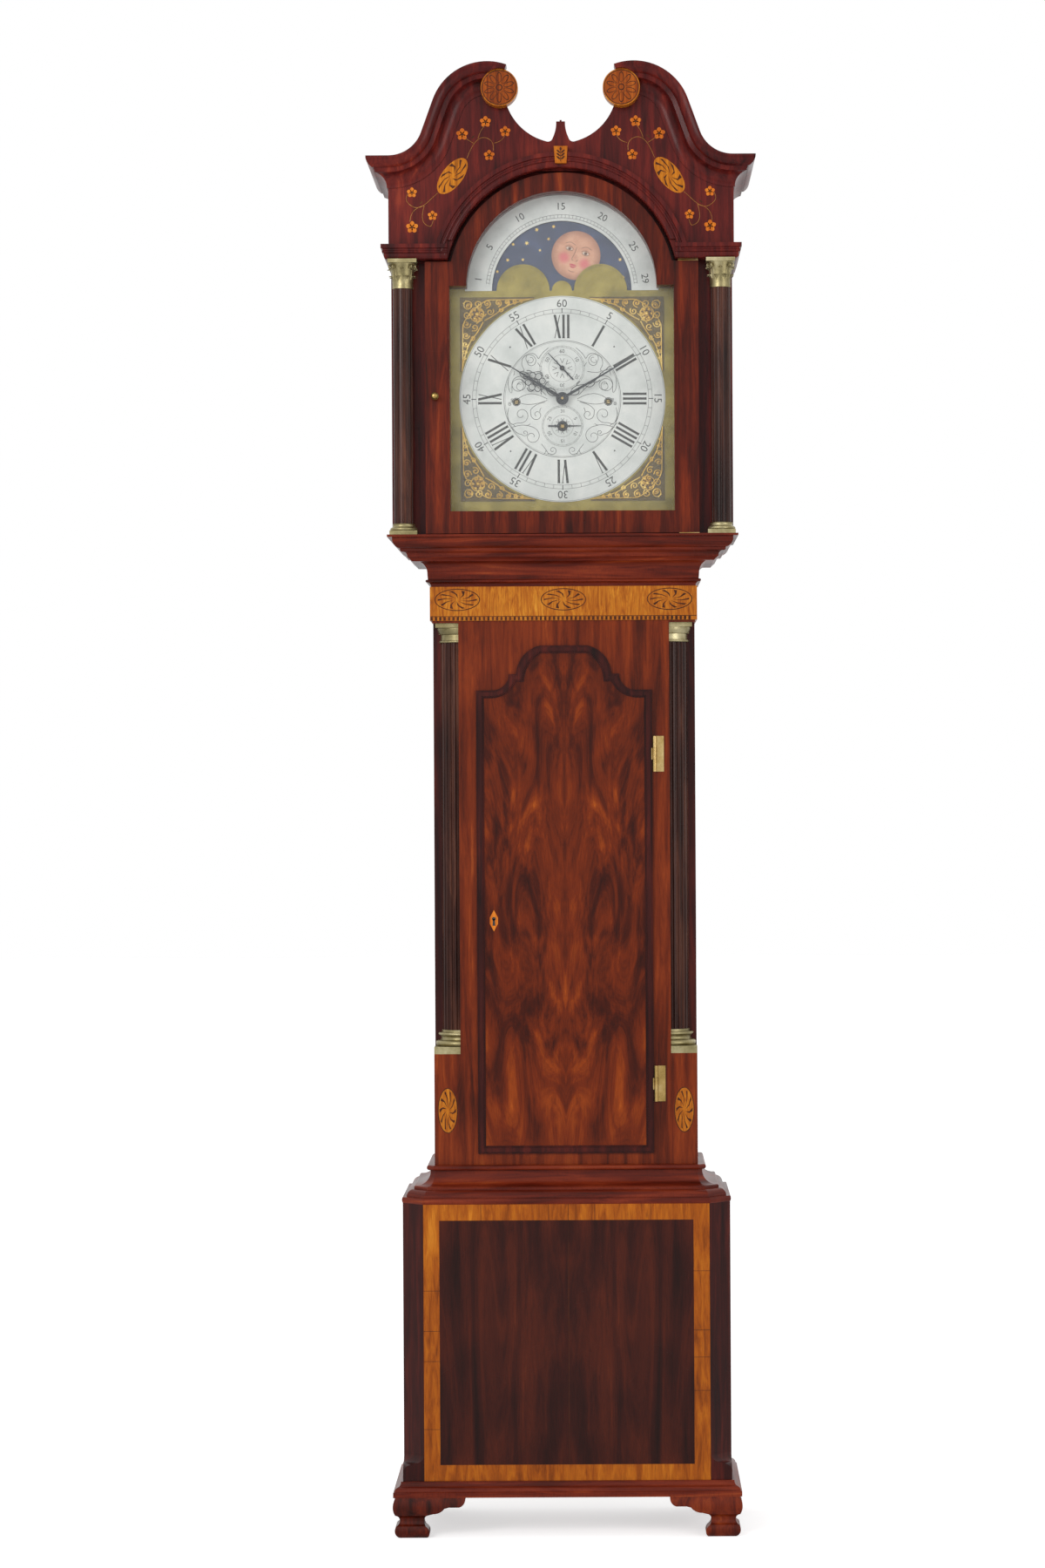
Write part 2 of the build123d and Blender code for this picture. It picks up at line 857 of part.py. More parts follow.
# Hood rail: the moulding that the hood stands on; it slides forwards on the trunk's top rail
hood_slot = hood_slide_gap
hood_rail = wrap_rail(
    trunk_half,
    trunk_front,
    case_back,
    0,
    (hood_slot, hood_floor),
    [
        (rail_out, hood_floor),
        ((rail_out + 9, hood_floor + 5.5), (rail_out + 11.8, hood_floor + 15)),
        (rail_out + 11.8, hood_deck - 4),
        (rail_out + hood_rail_out, hood_deck - 3.5),
        (rail_out + hood_rail_out, hood_deck),
        (hood_slot, hood_deck),
        (hood_slot, hood_floor),
    ],
)
pivot_x = hood_door_half - 1.7
pivot_y = hood_front - 21.0
pivot_radius = 1.5
pivot_length = 8.0
with BuildPart() as hood_base_rail:
    add(hood_rail.part)
    with Locations((pivot_x, pivot_y, hood_deck)):
        Cylinder(
            pivot_radius + shaft_gap,
            pivot_length + 1,
            align=(Align.CENTER, Align.CENTER, Align.MAX),
            mode=Mode.SUBTRACT,
        )
hood_base_rail.part.label = "hood_base_rail"
export_step(hood_base_rail.part, "parts/hood_base_rail.step")

# Hood carcase: two sides that step forwards over the columns, and a flat roof board
tympanum_back = tympanum_front + tympanum_thick
soffit_thick = 12.0
soffit_width = hood_half - hood_board - arch_radius - 1.5
with BuildPart() as hood_carcase:
    with BuildSketch(Plane(origin=(hood_half, 0, 0), x_dir=(0, 1, 0), z_dir=(1, 0, 0))):
        with BuildLine():
            Polyline(
                (hood_front, hood_deck),
                (case_back, hood_deck),
                (case_back, hood_top),
                (tympanum_back, hood_top),
                (tympanum_back, spring_line),
                (hood_front, spring_line),
                close=True,
            )
        make_face()
    extrude(amount=-hood_board)
    mirror(about=Plane.YZ)
    with Locations((0, tympanum_back, hood_top)):
        Box(
            2 * (hood_half - hood_board),
            case_back - tympanum_back,
            roof_thick,
            align=(Align.CENTER, Align.MIN, Align.MAX),
        )
    for side in (-1, 1):
        with Locations((side * (hood_half - hood_board), hood_front, spring_line)):
            Box(
                soffit_width,
                hood_front - tympanum_back,
                soffit_thick,
                align=(Align.MAX if side > 0 else Align.MIN, Align.MAX, Align.MIN),
            )
hood_carcase.part.label = "hood_carcase"
export_step(hood_carcase.part, "parts/hood_carcase.step")


def sight_face(y, grow):
    """Give the face of the dial opening, square with a round top, at depth y and grown all round."""
    with BuildSketch(front_plane(y)) as face:
        with Locations((0, sight_bottom - grow)):
            Rectangle(
                2 * (sight_half + grow),
                sight_top - sight_bottom + 2 * grow,
                align=(Align.CENTER, Align.MIN),
            )
        with Locations((0, sight_arch_centre)):
            Circle(sight_arch_radius + grow)
    return face.sketch


def hood_door_face(y):
    """Give the face of the hood door at depth y: square with a round top under the arch."""
    low = hood_deck + hood_door_gap
    with BuildSketch(front_plane(y)) as face:
        with Locations((0, low)):
            Rectangle(2 * hood_door_half, spring_line - 2.0 - low, align=(Align.CENTER, Align.MIN))
        with Locations((0, arch_centre)):
            Circle(arch_radius - hood_door_arch_gap)
    return face.sketch


# Mask: the fixed frame inside the hood that borders the dial
with BuildPart() as hood_mask:
    with BuildSketch(front_plane(hood_front)):
        with Locations((0, hood_deck)):
            Rectangle(
                2 * (hood_half - hood_board),
                hood_top - roof_thick - hood_deck,
                align=(Align.CENTER, Align.MIN),
            )
    extrude(amount=-(mask_back - hood_front))
    extrude(sight_face(hood_front, 0), amount=-(mask_back - hood_front), mode=Mode.SUBTRACT)
hood_mask.part.label = "hood_mask"
export_step(hood_mask.part, "parts/hood_mask.step")

# Hood door: a glazed frame with a round head, and its brass knob and pivots
hood_door_back = hood_front - 0.5
hood_door_front = hood_door_back - hood_door_thick
glass_back = hood_door_back - 2.0
with BuildPart() as hood_door:
    extrude(hood_door_face(hood_door_back), amount=hood_door_thick)
    extrude(sight_face(hood_door_back, 0), amount=hood_door_thick, mode=Mode.SUBTRACT)
    rebate = glass_thick + 2.0
    extrude(sight_face(hood_door_back, glass_lap + 0.2), amount=rebate, mode=Mode.SUBTRACT)
hood_door.part.label = "hood_door"
export_step(hood_door.part, "parts/hood_door.step")

with BuildPart() as hood_door_glass:
    extrude(sight_face(glass_back, glass_lap), amount=glass_thick)
hood_door_glass.part.label = "hood_door_glass"
export_step(hood_door_glass.part, "parts/hood_door_glass.step")

knob_x = -202.0
knob_stem = 6.0
knob_radius = 6.0
with BuildPart() as hood_door_knob:
    with BuildSketch(Plane(origin=(knob_x, hood_door_front, dial_z), x_dir=(0, -1, 0), z_dir=(0, 0, 1))):
        with BuildLine():
            outline(
                (0, 0),
                [
                    (0, 5.0),
                    (1.5, 5.0),
                    (2.5, 2.8),
                    (knob_stem, 2.8),
                    (knob_stem + 0.3 * knob_radius, 0.75 * knob_radius),
                    (knob_stem + 0.8 * knob_radius, knob_radius),
                    (knob_stem + 1.2 * knob_radius, knob_radius),
                    (knob_stem + 1.8 * knob_radius, 0.6 * knob_radius),
                    (knob_stem + 2 * knob_radius, 0),
                    (0, 0),
                ],
            )
        make_face()
    revolve(axis=Axis((knob_x, 0, dial_z), (0, 1, 0)))
hood_door_knob.part.label = "hood_door_knob"
export_step(hood_door_knob.part, "parts/hood_door_knob.step")

pivot_leaf = 1.5
with BuildPart() as hood_door_pivots:
    door_low = hood_deck + hood_door_gap
    door_high = spring_line - 2.0
    for z, up in ((door_low, -1), (door_high, 1)):
        with BuildSketch(Plane.XY.offset(z)):
            with Locations((hood_door_half, hood_door_back - 0.5)):
                Rectangle(32, 21.5, align=(Align.MAX, Align.MAX))
        extrude(amount=up * pivot_leaf)
        with BuildSketch(Plane.XY.offset(z)):
            with Locations((pivot_x, pivot_y)):
                Circle(pivot_radius)
        extrude(amount=up * pivot_length)
hood_door_pivots.part.label = "hood_door_pivots"
export_step(hood_door_pivots.part, "parts/hood_door_pivots.step")

# Tympanum: the board behind the swan neck, cut round the arch and between the two scrolls
crest_start = radians(90 + cove_turn)
cove_centre = (-hood_half, cornice_top + cove_radius)
cove_end_angle = radians(cove_turn - 90)
cove_end = (
    cove_centre[0] + cove_radius * cos(cove_end_angle),
    cove_centre[1] + cove_radius * sin(cove_end_angle),
)
neck_end = (
    cove_end[0] + neck_straight * cos(radians(cove_turn)),
    cove_end[1] + neck_straight * sin(radians(cove_turn)),
)
crest_centre = (
    neck_end[0] - crest_radius * cos(crest_start),
    neck_end[1] - crest_radius * sin(crest_start),
)
cornice_corner = -(tympanum_half + cornice_out)


def neck_arc(centre, radius, from_deg, to_deg):
    """Give the middle and end point of an arc in the front view."""
    middle = radians((from_deg + to_deg) / 2)
    end = radians(to_deg)
    return (
        (centre[0] + radius * cos(middle), centre[1] + radius * sin(middle)),
        (centre[0] + radius * cos(end), centre[1] + radius * sin(end)),
    )


tuck = 6.0
cove_big = cove_radius + tuck
crest_small = crest_radius - tuck
side_top = (-tympanum_half, cornice_top - tuck)
cove_mid, cove_stop = neck_arc(cove_centre, cove_big, -90, cove_turn - 90)
crest_first = neck_arc(crest_centre, crest_small, 90 + cove_turn, 90 + cove_turn)[1]
crest_mid, crest_stop = neck_arc(crest_centre, crest_small, 90 + cove_turn, 84)
finial_half = 7.0
finial_top = 2246.0

with BuildPart() as tympanum:
    with BuildSketch(front_plane(tympanum_back)):
        with BuildLine():
            outline(
                (0, spring_line),
                [
                    (-tympanum_half, spring_line),
                    side_top,
                    (cove_centre[0], cornice_top - tuck),
                    (cove_mid, cove_stop),
                    crest_first,
                    (crest_mid, crest_stop),
                    (1 - rosette_x, rosette_z + rosette_radius - 8),
                    (12.6 - rosette_x, rosette_z - rosette_radius + 2),
                    ((-58.5, 2233), (-22, 2214.3)),
                    ((-15, 2216), (-12.6, 2220)),
                    ((-8.4, 2232), (-finial_half, finial_top)),
                    (0, finial_top),
                    (0, spring_line),
                ],
            )
        make_face()
        mirror(about=Plane.YZ)
        with Locations((0, arch_centre)):
            Circle(arch_radius, mode=Mode.SUBTRACT)
    extrude(amount=tympanum_thick)
    with Locations((0, tympanum_front + tympanum_thick / 2, finial_top)):
        Cylinder(1.6, 3.4, align=(Align.CENTER, Align.CENTER, Align.MIN))
    with Locations((pivot_x, pivot_y, spring_line)):
        Cylinder(
            pivot_radius + shaft_gap,
            pivot_length,
            align=(Align.CENTER, Align.CENTER, Align.MIN),
            mode=Mode.SUBTRACT,
        )
tympanum.part.label = "tympanum"
export_step(tympanum.part, "parts/tympanum.step")

# Arch rail: a moulding round the arch with level returns over the columns, mitred where they meet
arch_steps = [
    (0, 0),
    (4.0, 0),
    ((6.5, 2.0), (7.0, 6.0)),
    (7.0, 9.0),
    (9.0, 9.5),
    ((10.2, 11.5), (9.0, 13.5)),
    (9.0, 16.0),
    (12.0, 17.0),
    (12.0, arch_rail_width),
    (0, arch_rail_width),
]
mitre_low = (sqrt(arch_radius**2 - (spring_line - arch_centre) ** 2), spring_line)
outer_rise = spring_line + arch_rail_width - arch_centre
mitre_high = (sqrt((arch_radius + arch_rail_width) ** 2 - outer_rise**2), spring_line + arch_rail_width)
mitre_slope = (mitre_high[0] - mitre_low[0], mitre_high[1] - mitre_low[1])
mitre_plane = Plane(
    origin=(mitre_low[0], 0, mitre_low[1]),
    x_dir=(0, 1, 0),
    z_dir=(mitre_slope[1], 0, -mitre_slope[0]),
)
return_half = 284.0
key_low = 9.0
key_high = 11.0
key_floor = arch_centre + arch_radius + 5.0
key_top = key_floor + 27.0
key_front = -121.0

with BuildPart() as arch_bow:
    with BuildSketch(Plane(origin=(0, tympanum_front, arch_centre), x_dir=(0, -1, 0), z_dir=(-1, 0, 0))):
        with BuildLine():
            outline(
                (0, arch_radius),
                [
                    (p[0], p[1] + arch_radius)
                    if not isinstance(p[0], tuple)
                    else (
                        (p[0][0], p[0][1] + arch_radius),
                        (p[1][0], p[1][1] + arch_radius),
                    )
                    for p in arch_steps[1:] + arch_steps[:1]
                ],
            )
        make_face()
    revolve(axis=Axis((0, 0, arch_centre), (0, 1, 0)), revolution_arc=110)
    split(bisect_by=mitre_plane, keep=Keep.BOTTOM)
    mirror(about=Plane.YZ)

arch_return = wrap_rail(
    tympanum_half,
    tympanum_front,
    case_back,
    0,
    (0, spring_line),
    [
        (p[0], p[1] + spring_line)
        if not isinstance(p[0], tuple)
        else ((p[0][0], p[0][1] + spring_line), (p[1][0], p[1][1] + spring_line))
        for p in arch_steps[1:] + arch_steps[:1]
    ],
)


def key_face(y):
    """Give the face of the keystone, wider at its top."""
    with BuildSketch(front_plane(y)) as face:
        with BuildLine():
            Polyline(
                (-key_low, key_floor),
                (key_low, key_floor),
                (key_high, key_top),
                (-key_high, key_top),
                close=True,
            )
        make_face()
    return face.sketch


with BuildPart() as arch_rail:
    add(arch_bow.part)
    add(arch_return.part)
    with Locations((0, tympanum_front, spring_line)):
        Box(
            2 * mitre_low[0],
            60,
            60,
            align=(Align.CENTER, Align.CENTER, Align.CENTER),
            mode=Mode.SUBTRACT,
        )
    with BuildSketch(front_plane(tympanum_front)):
        with Locations((0, arch_centre)):
            Circle(arch_radius)
    extrude(amount=30, mode=Mode.SUBTRACT)
    extrude(key_face(tympanum_front), amount=30, mode=Mode.SUBTRACT)
arch_rail.part.label = "arch_rail"
export_step(arch_rail.part, "parts/arch_rail.step")

# Rosettes and keystone: turned discs that close the scrolls, and the wedge on the arch
with BuildPart() as rosettes:
    for side in (-1, 1):
        with BuildSketch(front_plane(tympanum_front)):
            with Locations((side * rosette_x, rosette_z)):
                Circle(rosette_radius)
        extrude(amount=rosette_thick)
rosettes.part.label = "rosettes"
export_step(rosettes.part, "parts/rosettes.step")

with BuildPart() as keystone:
    extrude(key_face(tympanum_front), amount=tympanum_front - key_front)
keystone.part.label = "keystone"
export_step(keystone.part, "parts/keystone.step")

# Swan neck: the cornice runs up each side in a cove and over in a crest, with a return to the back
cornice_steps = [
    (cornice_out, 0),
    (cornice_out, 3),
    ((cornice_out - 3, 11), (cornice_out - 10, 17)),
    (cornice_out - 12, 17),
    (cornice_out - 14, 24),
    ((cornice_out - 28, 33), (2, cornice_width)),
    (0, cornice_width),
    (0, 0),
]
corner_cut = Plane(origin=(-tympanum_half, tympanum_front, 0), x_dir=(0, 0, 1), z_dir=(1, -1, 0))
with BuildPart() as neck_front:
    with BuildLine() as neck_line:
        outline(
            (cornice_corner, cornice_top),
            [
                (cove_centre[0], cornice_top),
                neck_arc(cove_centre, cove_radius, -90, cove_turn - 90),
                neck_end,
                neck_arc(crest_centre, crest_radius, 90 + cove_turn, crest_end),
            ],
        )
    route = Wire([edge.rotate(Axis.X, 90).moved(Location((0, tympanum_front, 0))) for edge in neck_line.edges()])
    with BuildSketch(
        Plane(origin=(cornice_corner, tympanum_front, cornice_top), x_dir=(0, -1, 0), z_dir=(1, 0, 0))
    ):
        with BuildLine():
            outline((0, 0), cornice_steps)
        make_face()
    sweep(path=route)
    split(bisect_by=corner_cut, keep=Keep.TOP)
with BuildPart() as neck_return:
    with BuildSketch(Plane(origin=(-tympanum_half, case_back, cornice_top), x_dir=(-1, 0, 0), z_dir=(0, -1, 0))):
        with BuildLine():
            outline((0, 0), cornice_steps)
        make_face()
    extrude(amount=case_back - tympanum_front + cornice_out)
    split(bisect_by=corner_cut, keep=Keep.BOTTOM)
with BuildPart() as swan_necks:
    add(neck_front.part)
    add(neck_return.part)
    with BuildSketch(front_plane(tympanum_front)):
        with Locations((-rosette_x, rosette_z)):
            Circle(rosette_radius)
    extrude(amount=cornice_out + 1, mode=Mode.SUBTRACT)
    mirror(about=Plane.YZ)
swan_necks.part.label = "swan_necks"
export_step(swan_necks.part, "parts/swan_necks.step")

# Hood columns: fluted shafts between brass bases and leafed brass capitals
column_bottom = hood_deck + hood_plinth_height + hood_base_height
column_head = spring_line - hood_capital_height
hood_flute = 1.5
hood_plinth = 44.0
hood_abacus = 46.0
hood_abacus_thick = 6.0
with BuildPart() as hood_columns:
    for side in (-1, 1):
        shaft_height = column_head - column_bottom
        add(column(side * column_x, column_y, column_bottom, shaft_height, hood_column_radius, hood_flutes, hood_flute))
hood_columns.part.label = "hood_columns"
export_step(hood_columns.part, "parts/hood_columns.step")

with BuildPart() as hood_column_brasses:
    shaft = hood_column_radius
    plinth_top = hood_deck + hood_plinth_height
    abacus_low = spring_line - hood_abacus_thick
    turned_base = [
        (shaft + 5, plinth_top),
        ((shaft + 6.5, plinth_top + 2.5), (shaft + 5, plinth_top + 5)),
        ((shaft + 2.5, plinth_top + 7), (shaft + 3, column_bottom)),
        (0, column_bottom),
        (0, plinth_top),
    ]
    turned_bell = [
        (shaft + 1, column_head),
        ((shaft + 1.5, column_head + 18), (shaft + 6, abacus_low)),
        (0, abacus_low),
        (0, column_head),
    ]
    for start, steps in (((0, plinth_top), turned_base), ((0, column_head), turned_bell)):
        with BuildSketch(Plane(origin=(column_x, column_y, 0), x_dir=(1, 0, 0), z_dir=(0, -1, 0))):
            with BuildLine():
                outline(start, steps)
            make_face()
        revolve(axis=Axis((column_x, column_y, 0), (0, 0, 1)))
    for low, high, wide in (
        (hood_deck, plinth_top, hood_plinth),
        (abacus_low, spring_line, hood_abacus),
    ):
        with Locations((column_x, column_y, low)):
            Box(wide, wide, high - low, align=(Align.CENTER, Align.CENTER, Align.MIN))
    mirror(about=Plane.YZ)
hood_column_brasses.part.label = "hood_column_brasses"
export_step(hood_column_brasses.part, "parts/hood_column_brasses.step")

# Seat board: carries the movement on the trunk sides, with a slot for the pendulum
with BuildPart() as seat_board:
    with Locations((0, seat_front, seat_top)):
        Box(2 * trunk_half, back_face - seat_front, seat_thick, align=(Align.CENTER, Align.MIN, Align.MAX))
    with Locations((0, pendulum_y, seat_top)):
        Box(50, 28, 3 * seat_thick, mode=Mode.SUBTRACT)
seat_board.part.label = "seat_board"
export_step(seat_board.part, "parts/seat_board.step")

# Dial: a brass plate with an arch, a silvered chapter disc and lunar ring, and four cast spandrels
winding_places = ((-side_winding_x, side_winding_z), (side_winding_x, side_winding_z))
plate_low = sight_bottom - plate_margin
disc_front = plate_front - disc_thick
plate_back = plate_front + plate_thick
moon_line = sight_arch_centre - 1.4
centre_hole = 7.0
seconds_hole = 2.5
date_hole = 7.0
foot_radius = 3.0
foot_x = 88.0
foot_rows = (seat_top + 25, seat_top + 170)
stud_radius = 3.0

with BuildPart() as dial_plate:
    with BuildSketch(front_plane(plate_back)):
        with Locations((0, plate_low)):
            Rectangle(2 * plate_half, sight_top + plate_margin - plate_low, align=(Align.CENTER, Align.MIN))
        with Locations((0, sight_arch_centre)):
            Circle(sight_arch_radius + plate_margin)
    extrude(amount=plate_thick)
    with BuildSketch(front_plane(plate_back)):
        with Locations((0, moon_line)):
            Circle(ring_inner)
            Rectangle(2 * ring_inner, ring_inner, align=(Align.CENTER, Align.MAX), mode=Mode.SUBTRACT)
        with Locations((-hump_x, moon_line), (hump_x, moon_line)):
            Circle(hump_radius, mode=Mode.SUBTRACT)
        with Locations((0, moon_line)):
            Circle(centre_hump_radius, mode=Mode.SUBTRACT)
    extrude(amount=plate_thick, mode=Mode.SUBTRACT)
    with BuildSketch(front_plane(plate_back)):
        with Locations((0, dial_z)):
            Circle(centre_hole)
        with Locations((0, seconds_z)):
            Circle(seconds_hole)
        with Locations((0, centre_winding_z)):
            Circle(date_hole)
        with Locations(*winding_places):
            Circle(winding_hole_radius)
    extrude(amount=plate_thick, mode=Mode.SUBTRACT)
    for row in foot_rows:
        for side in (-1, 1):
            add(rod(side * foot_x, row, plate_back, plate_y, foot_radius))
    add(rod(0, moon_line, plate_back, moon_disc_y + moon_disc_thick + 2, stud_radius))
dial_plate.part.label = "dial_plate"
export_step(dial_plate.part, "parts/dial_plate.step")

with BuildPart() as chapter_disc:
    with BuildSketch(front_plane(plate_front)):
        with Locations((0, dial_z)):
            Circle(disc_radius)
            Circle(centre_hole, mode=Mode.SUBTRACT)
        with Locations((0, seconds_z)):
            Circle(seconds_hole, mode=Mode.SUBTRACT)
        with Locations((0, centre_winding_z)):
            Circle(date_hole, mode=Mode.SUBTRACT)
        with Locations(*winding_places):
            Circle(winding_hole_radius, mode=Mode.SUBTRACT)
    extrude(amount=disc_thick)
chapter_disc.part.label = "chapter_disc"
export_step(chapter_disc.part, "parts/chapter_disc.step")

with BuildPart() as lunar_ring:
    with BuildSketch(front_plane(plate_front)):
        with Locations((0, moon_line)):
            Circle(ring_outer)
            Circle(ring_inner, mode=Mode.SUBTRACT)
            Rectangle(2 * ring_outer, ring_outer, align=(Align.CENTER, Align.MAX), mode=Mode.SUBTRACT)
    extrude(amount=disc_thick)
lunar_ring.part.label = "lunar_ring"
export_step(lunar_ring.part, "parts/lunar_ring.step")

with BuildPart() as spandrels:
    with BuildSketch(front_plane(plate_front)):
        with Locations((0, dial_z)):
            Rectangle(2 * spandrel_half, 2 * spandrel_half)
            arm_gap = 2 * (spandrel_half - spandrel_leg)
            Rectangle(arm_gap, 2 * spandrel_half, mode=Mode.SUBTRACT)
            Rectangle(2 * spandrel_half, arm_gap, mode=Mode.SUBTRACT)
            Circle(disc_radius + spandrel_gap, mode=Mode.SUBTRACT)
    extrude(amount=spandrel_thick)
spandrels.part.label = "spandrels"
export_step(spandrels.part, "parts/spandrels.step")

with BuildPart() as moon_disc:
    add(rod(0, moon_line, moon_disc_y, moon_disc_y + moon_disc_thick, moon_disc_radius))
    add(rod(0, moon_line, moon_disc_y, moon_disc_y + moon_disc_thick, stud_radius + shaft_gap), mode=Mode.SUBTRACT)
moon_disc.part.label = "moon_disc"
export_step(moon_disc.part, "parts/moon_disc.step")

# Arbors: the centre arbor and its wheel, and the escape arbor that carries the seconds hand
centre_shaft = 2.0
escape_shaft = 1.5
plate_back_face = back_plate_y + movement_plate
with BuildPart() as centre_arbor:
    add(rod(0, dial_z, minute_hand_y - 4, plate_back_face, centre_shaft))
    add(wheel(0, dial_z, plate_y + 4, 7, 3.4, 8, 0.9))
    add(wheel(0, dial_z, 38, wheel_thick, 25.5, 60, 1.0))
centre_arbor.part.label = "centre_arbor"
export_step(centre_arbor.part, "parts/centre_arbor.step")

escape_radius = 19.5
seconds_hand_y = disc_front - 3
with BuildPart() as escape_arbor:
    add(rod(0, seconds_z, seconds_hand_y, plate_back_face, escape_shaft))
    add(wheel(0, seconds_z, 8, 6, 3.2, 7, 0.9))
    add(wheel(0, seconds_z, 44, 2, escape_radius, 30, 2.0))
escape_arbor.part.label = "escape_arbor"
export_step(escape_arbor.part, "parts/escape_arbor.step")


def hand_blade(x, z, y, turn, length, tail, wide, hub, bore):
    """Cut a hand at depth y: a pointed blade with a tail and a hub, turned from twelve o'clock."""
    with BuildPart() as blade:
        with BuildSketch(front_plane(y)):
            with Locations(Location((x, z), turn)):
                with BuildLine(mode=Mode.PRIVATE) as edge:
                    Polyline((-wide, 0), (-0.5, length), (0.5, length), (wide, 0), (wide, -tail), (-wide, -tail), close=True)
                blade_face = make_face(edge.edges(), mode=Mode.PRIVATE)
                add(blade_face)
            with Locations((x, z)):
                Circle(hub)
                Circle(bore, mode=Mode.SUBTRACT)
        extrude(amount=hand_thick)
    return blade.part


with BuildPart() as seconds_hand:
    add(hand_blade(0, seconds_z, seconds_hand_y, seconds_hand_turn, seconds_hand_length, seconds_hand_tail, 1.2, 4, 0.5))
seconds_hand.part.label = "seconds_hand"
export_step(seconds_hand.part, "parts/seconds_hand.step")

# Hands and motion work: each hand sits on its own pipe, and the pipes nest on the centre arbor
minute_pipe = 3.6
hour_pipe = 5.5
with BuildPart() as minute_hand:
    add(rod(0, dial_z, minute_hand_y, plate_y - 1.5, minute_pipe))
    add(hand_blade(0, dial_z, minute_hand_y, minute_hand_turn, minute_hand_length, 4, 2.4, hand_hub_radius, 1))
    add(wheel(0, dial_z, plate_y - 3, 1.5, 9, 18, 1.0))
    add(rod(0, dial_z, minute_hand_y - 2, plate_y, centre_shaft + shaft_gap), mode=Mode.SUBTRACT)
minute_hand.part.label = "minute_hand"
export_step(minute_hand.part, "parts/minute_hand.step")

with BuildPart() as hour_hand:
    add(rod(0, dial_z, hour_hand_y, plate_y - 5, hour_pipe))
    add(hand_blade(0, dial_z, hour_hand_y + 1, hour_hand_turn, hour_hand_length, 4, 3.0, hand_hub_radius, 1))
    add(wheel(0, dial_z, plate_y - 8, 2, 28, 72, 1.0))
    add(rod(0, dial_z, hour_hand_y - 2, plate_y, minute_pipe + shaft_gap), mode=Mode.SUBTRACT)
hour_hand.part.label = "hour_hand"
export_step(hour_hand.part, "parts/hour_hand.step")

date_pipe = 6.9
date_hand_y = disc_front - 2
with BuildPart() as date_hand:
    add(rod(0, centre_winding_z, date_hand_y, plate_back + 4, date_pipe))
    add(hand_blade(0, centre_winding_z, date_hand_y, -90, date_hand_length, date_hand_tail, 1.2, 7.6, 1))
    add(wheel(0, centre_winding_z, plate_back + 2, 1.5, 24, 62, 1.0))
    add(rod(0, centre_winding_z, date_hand_y - 2, plate_back + 5, winding_hole_radius), mode=Mode.SUBTRACT)
date_hand.part.label = "date_hand"
export_step(date_hand.part, "parts/date_hand.step")

# Barrels: a drum with flanges, a great wheel and a winding square, one for each weight
barrel_names = ("strike", "going", "chime")
barrel_places = ((-side_winding_x, side_winding_z), (0, centre_winding_z), (side_winding_x, side_winding_z))
for barrel_name, (x, z) in zip(barrel_names, barrel_places):
    with BuildPart() as barrel:
        add(rod(x, z, plate_y - 1, plate_back_face, arbor_radius))
        add(rod(x, z, drum_front, drum_back, drum_radius))
        add(rod(x, z, drum_front - flange_thick, drum_front, flange_radius))
        add(rod(x, z, drum_back, drum_back + flange_thick, flange_radius))
        add(rod(x, z, great_wheel_y, drum_front, 9))
        add(wheel(x, z, great_wheel_y, wheel_thick, great_wheel_radius, 84, 1.4))
        with Locations((x, plate_y - 1, z)):
            square_length = plate_y - 1 - (plate_front + 1)
            Box(winding_square, square_length, winding_square, align=(Align.CENTER, Align.MAX, Align.CENTER))
    barrel.part.label = barrel_name + "_barrel"
    export_step(barrel.part, "parts/" + barrel_name + "_barrel.step")

# Movement frame: two brass plates on four pillars, with the cock that the pendulum hangs from
cock_low = anchor_z + 5
cock_thick = 8.0
with BuildPart() as movement_frame:
    for y in (plate_y, back_plate_y):
        with Locations((0, y, seat_top)):
            Box(2 * movement_half, movement_plate, movement_height, align=(Align.CENTER, Align.MIN, Align.MIN))
    for side in (-1, 1):
        for z in (seat_top + pillar_inset, seat_top + movement_height - pillar_inset):
            add(rod(side * pillar_x, z, plate_y + movement_plate, back_plate_y, pillar_radius))
    for x, z in barrel_places:
        add(rod(x, z, plate_y, plate_back_face, arbor_radius + shaft_gap), mode=Mode.SUBTRACT)
    add(rod(0, dial_z, plate_y, plate_back_face, centre_shaft + shaft_gap), mode=Mode.SUBTRACT)
    add(rod(0, seconds_z, plate_y, plate_back_face, escape_shaft + shaft_gap), mode=Mode.SUBTRACT)
    add(rod(0, anchor_z, plate_y, plate_back_face, escape_shaft + shaft_gap), mode=Mode.SUBTRACT)
    with Locations((0, plate_back_face, cock_low)):
        Box(28, pendulum_y + 10 - plate_back_face, cock_thick, align=(Align.CENTER, Align.MIN, Align.MIN))
    with Locations((0, pendulum_y, cock_low)):
        Box(3, 16, 3 * cock_thick, mode=Mode.SUBTRACT)
movement_frame.part.label = "movement_frame"
export_step(movement_frame.part, "parts/movement_frame.step")

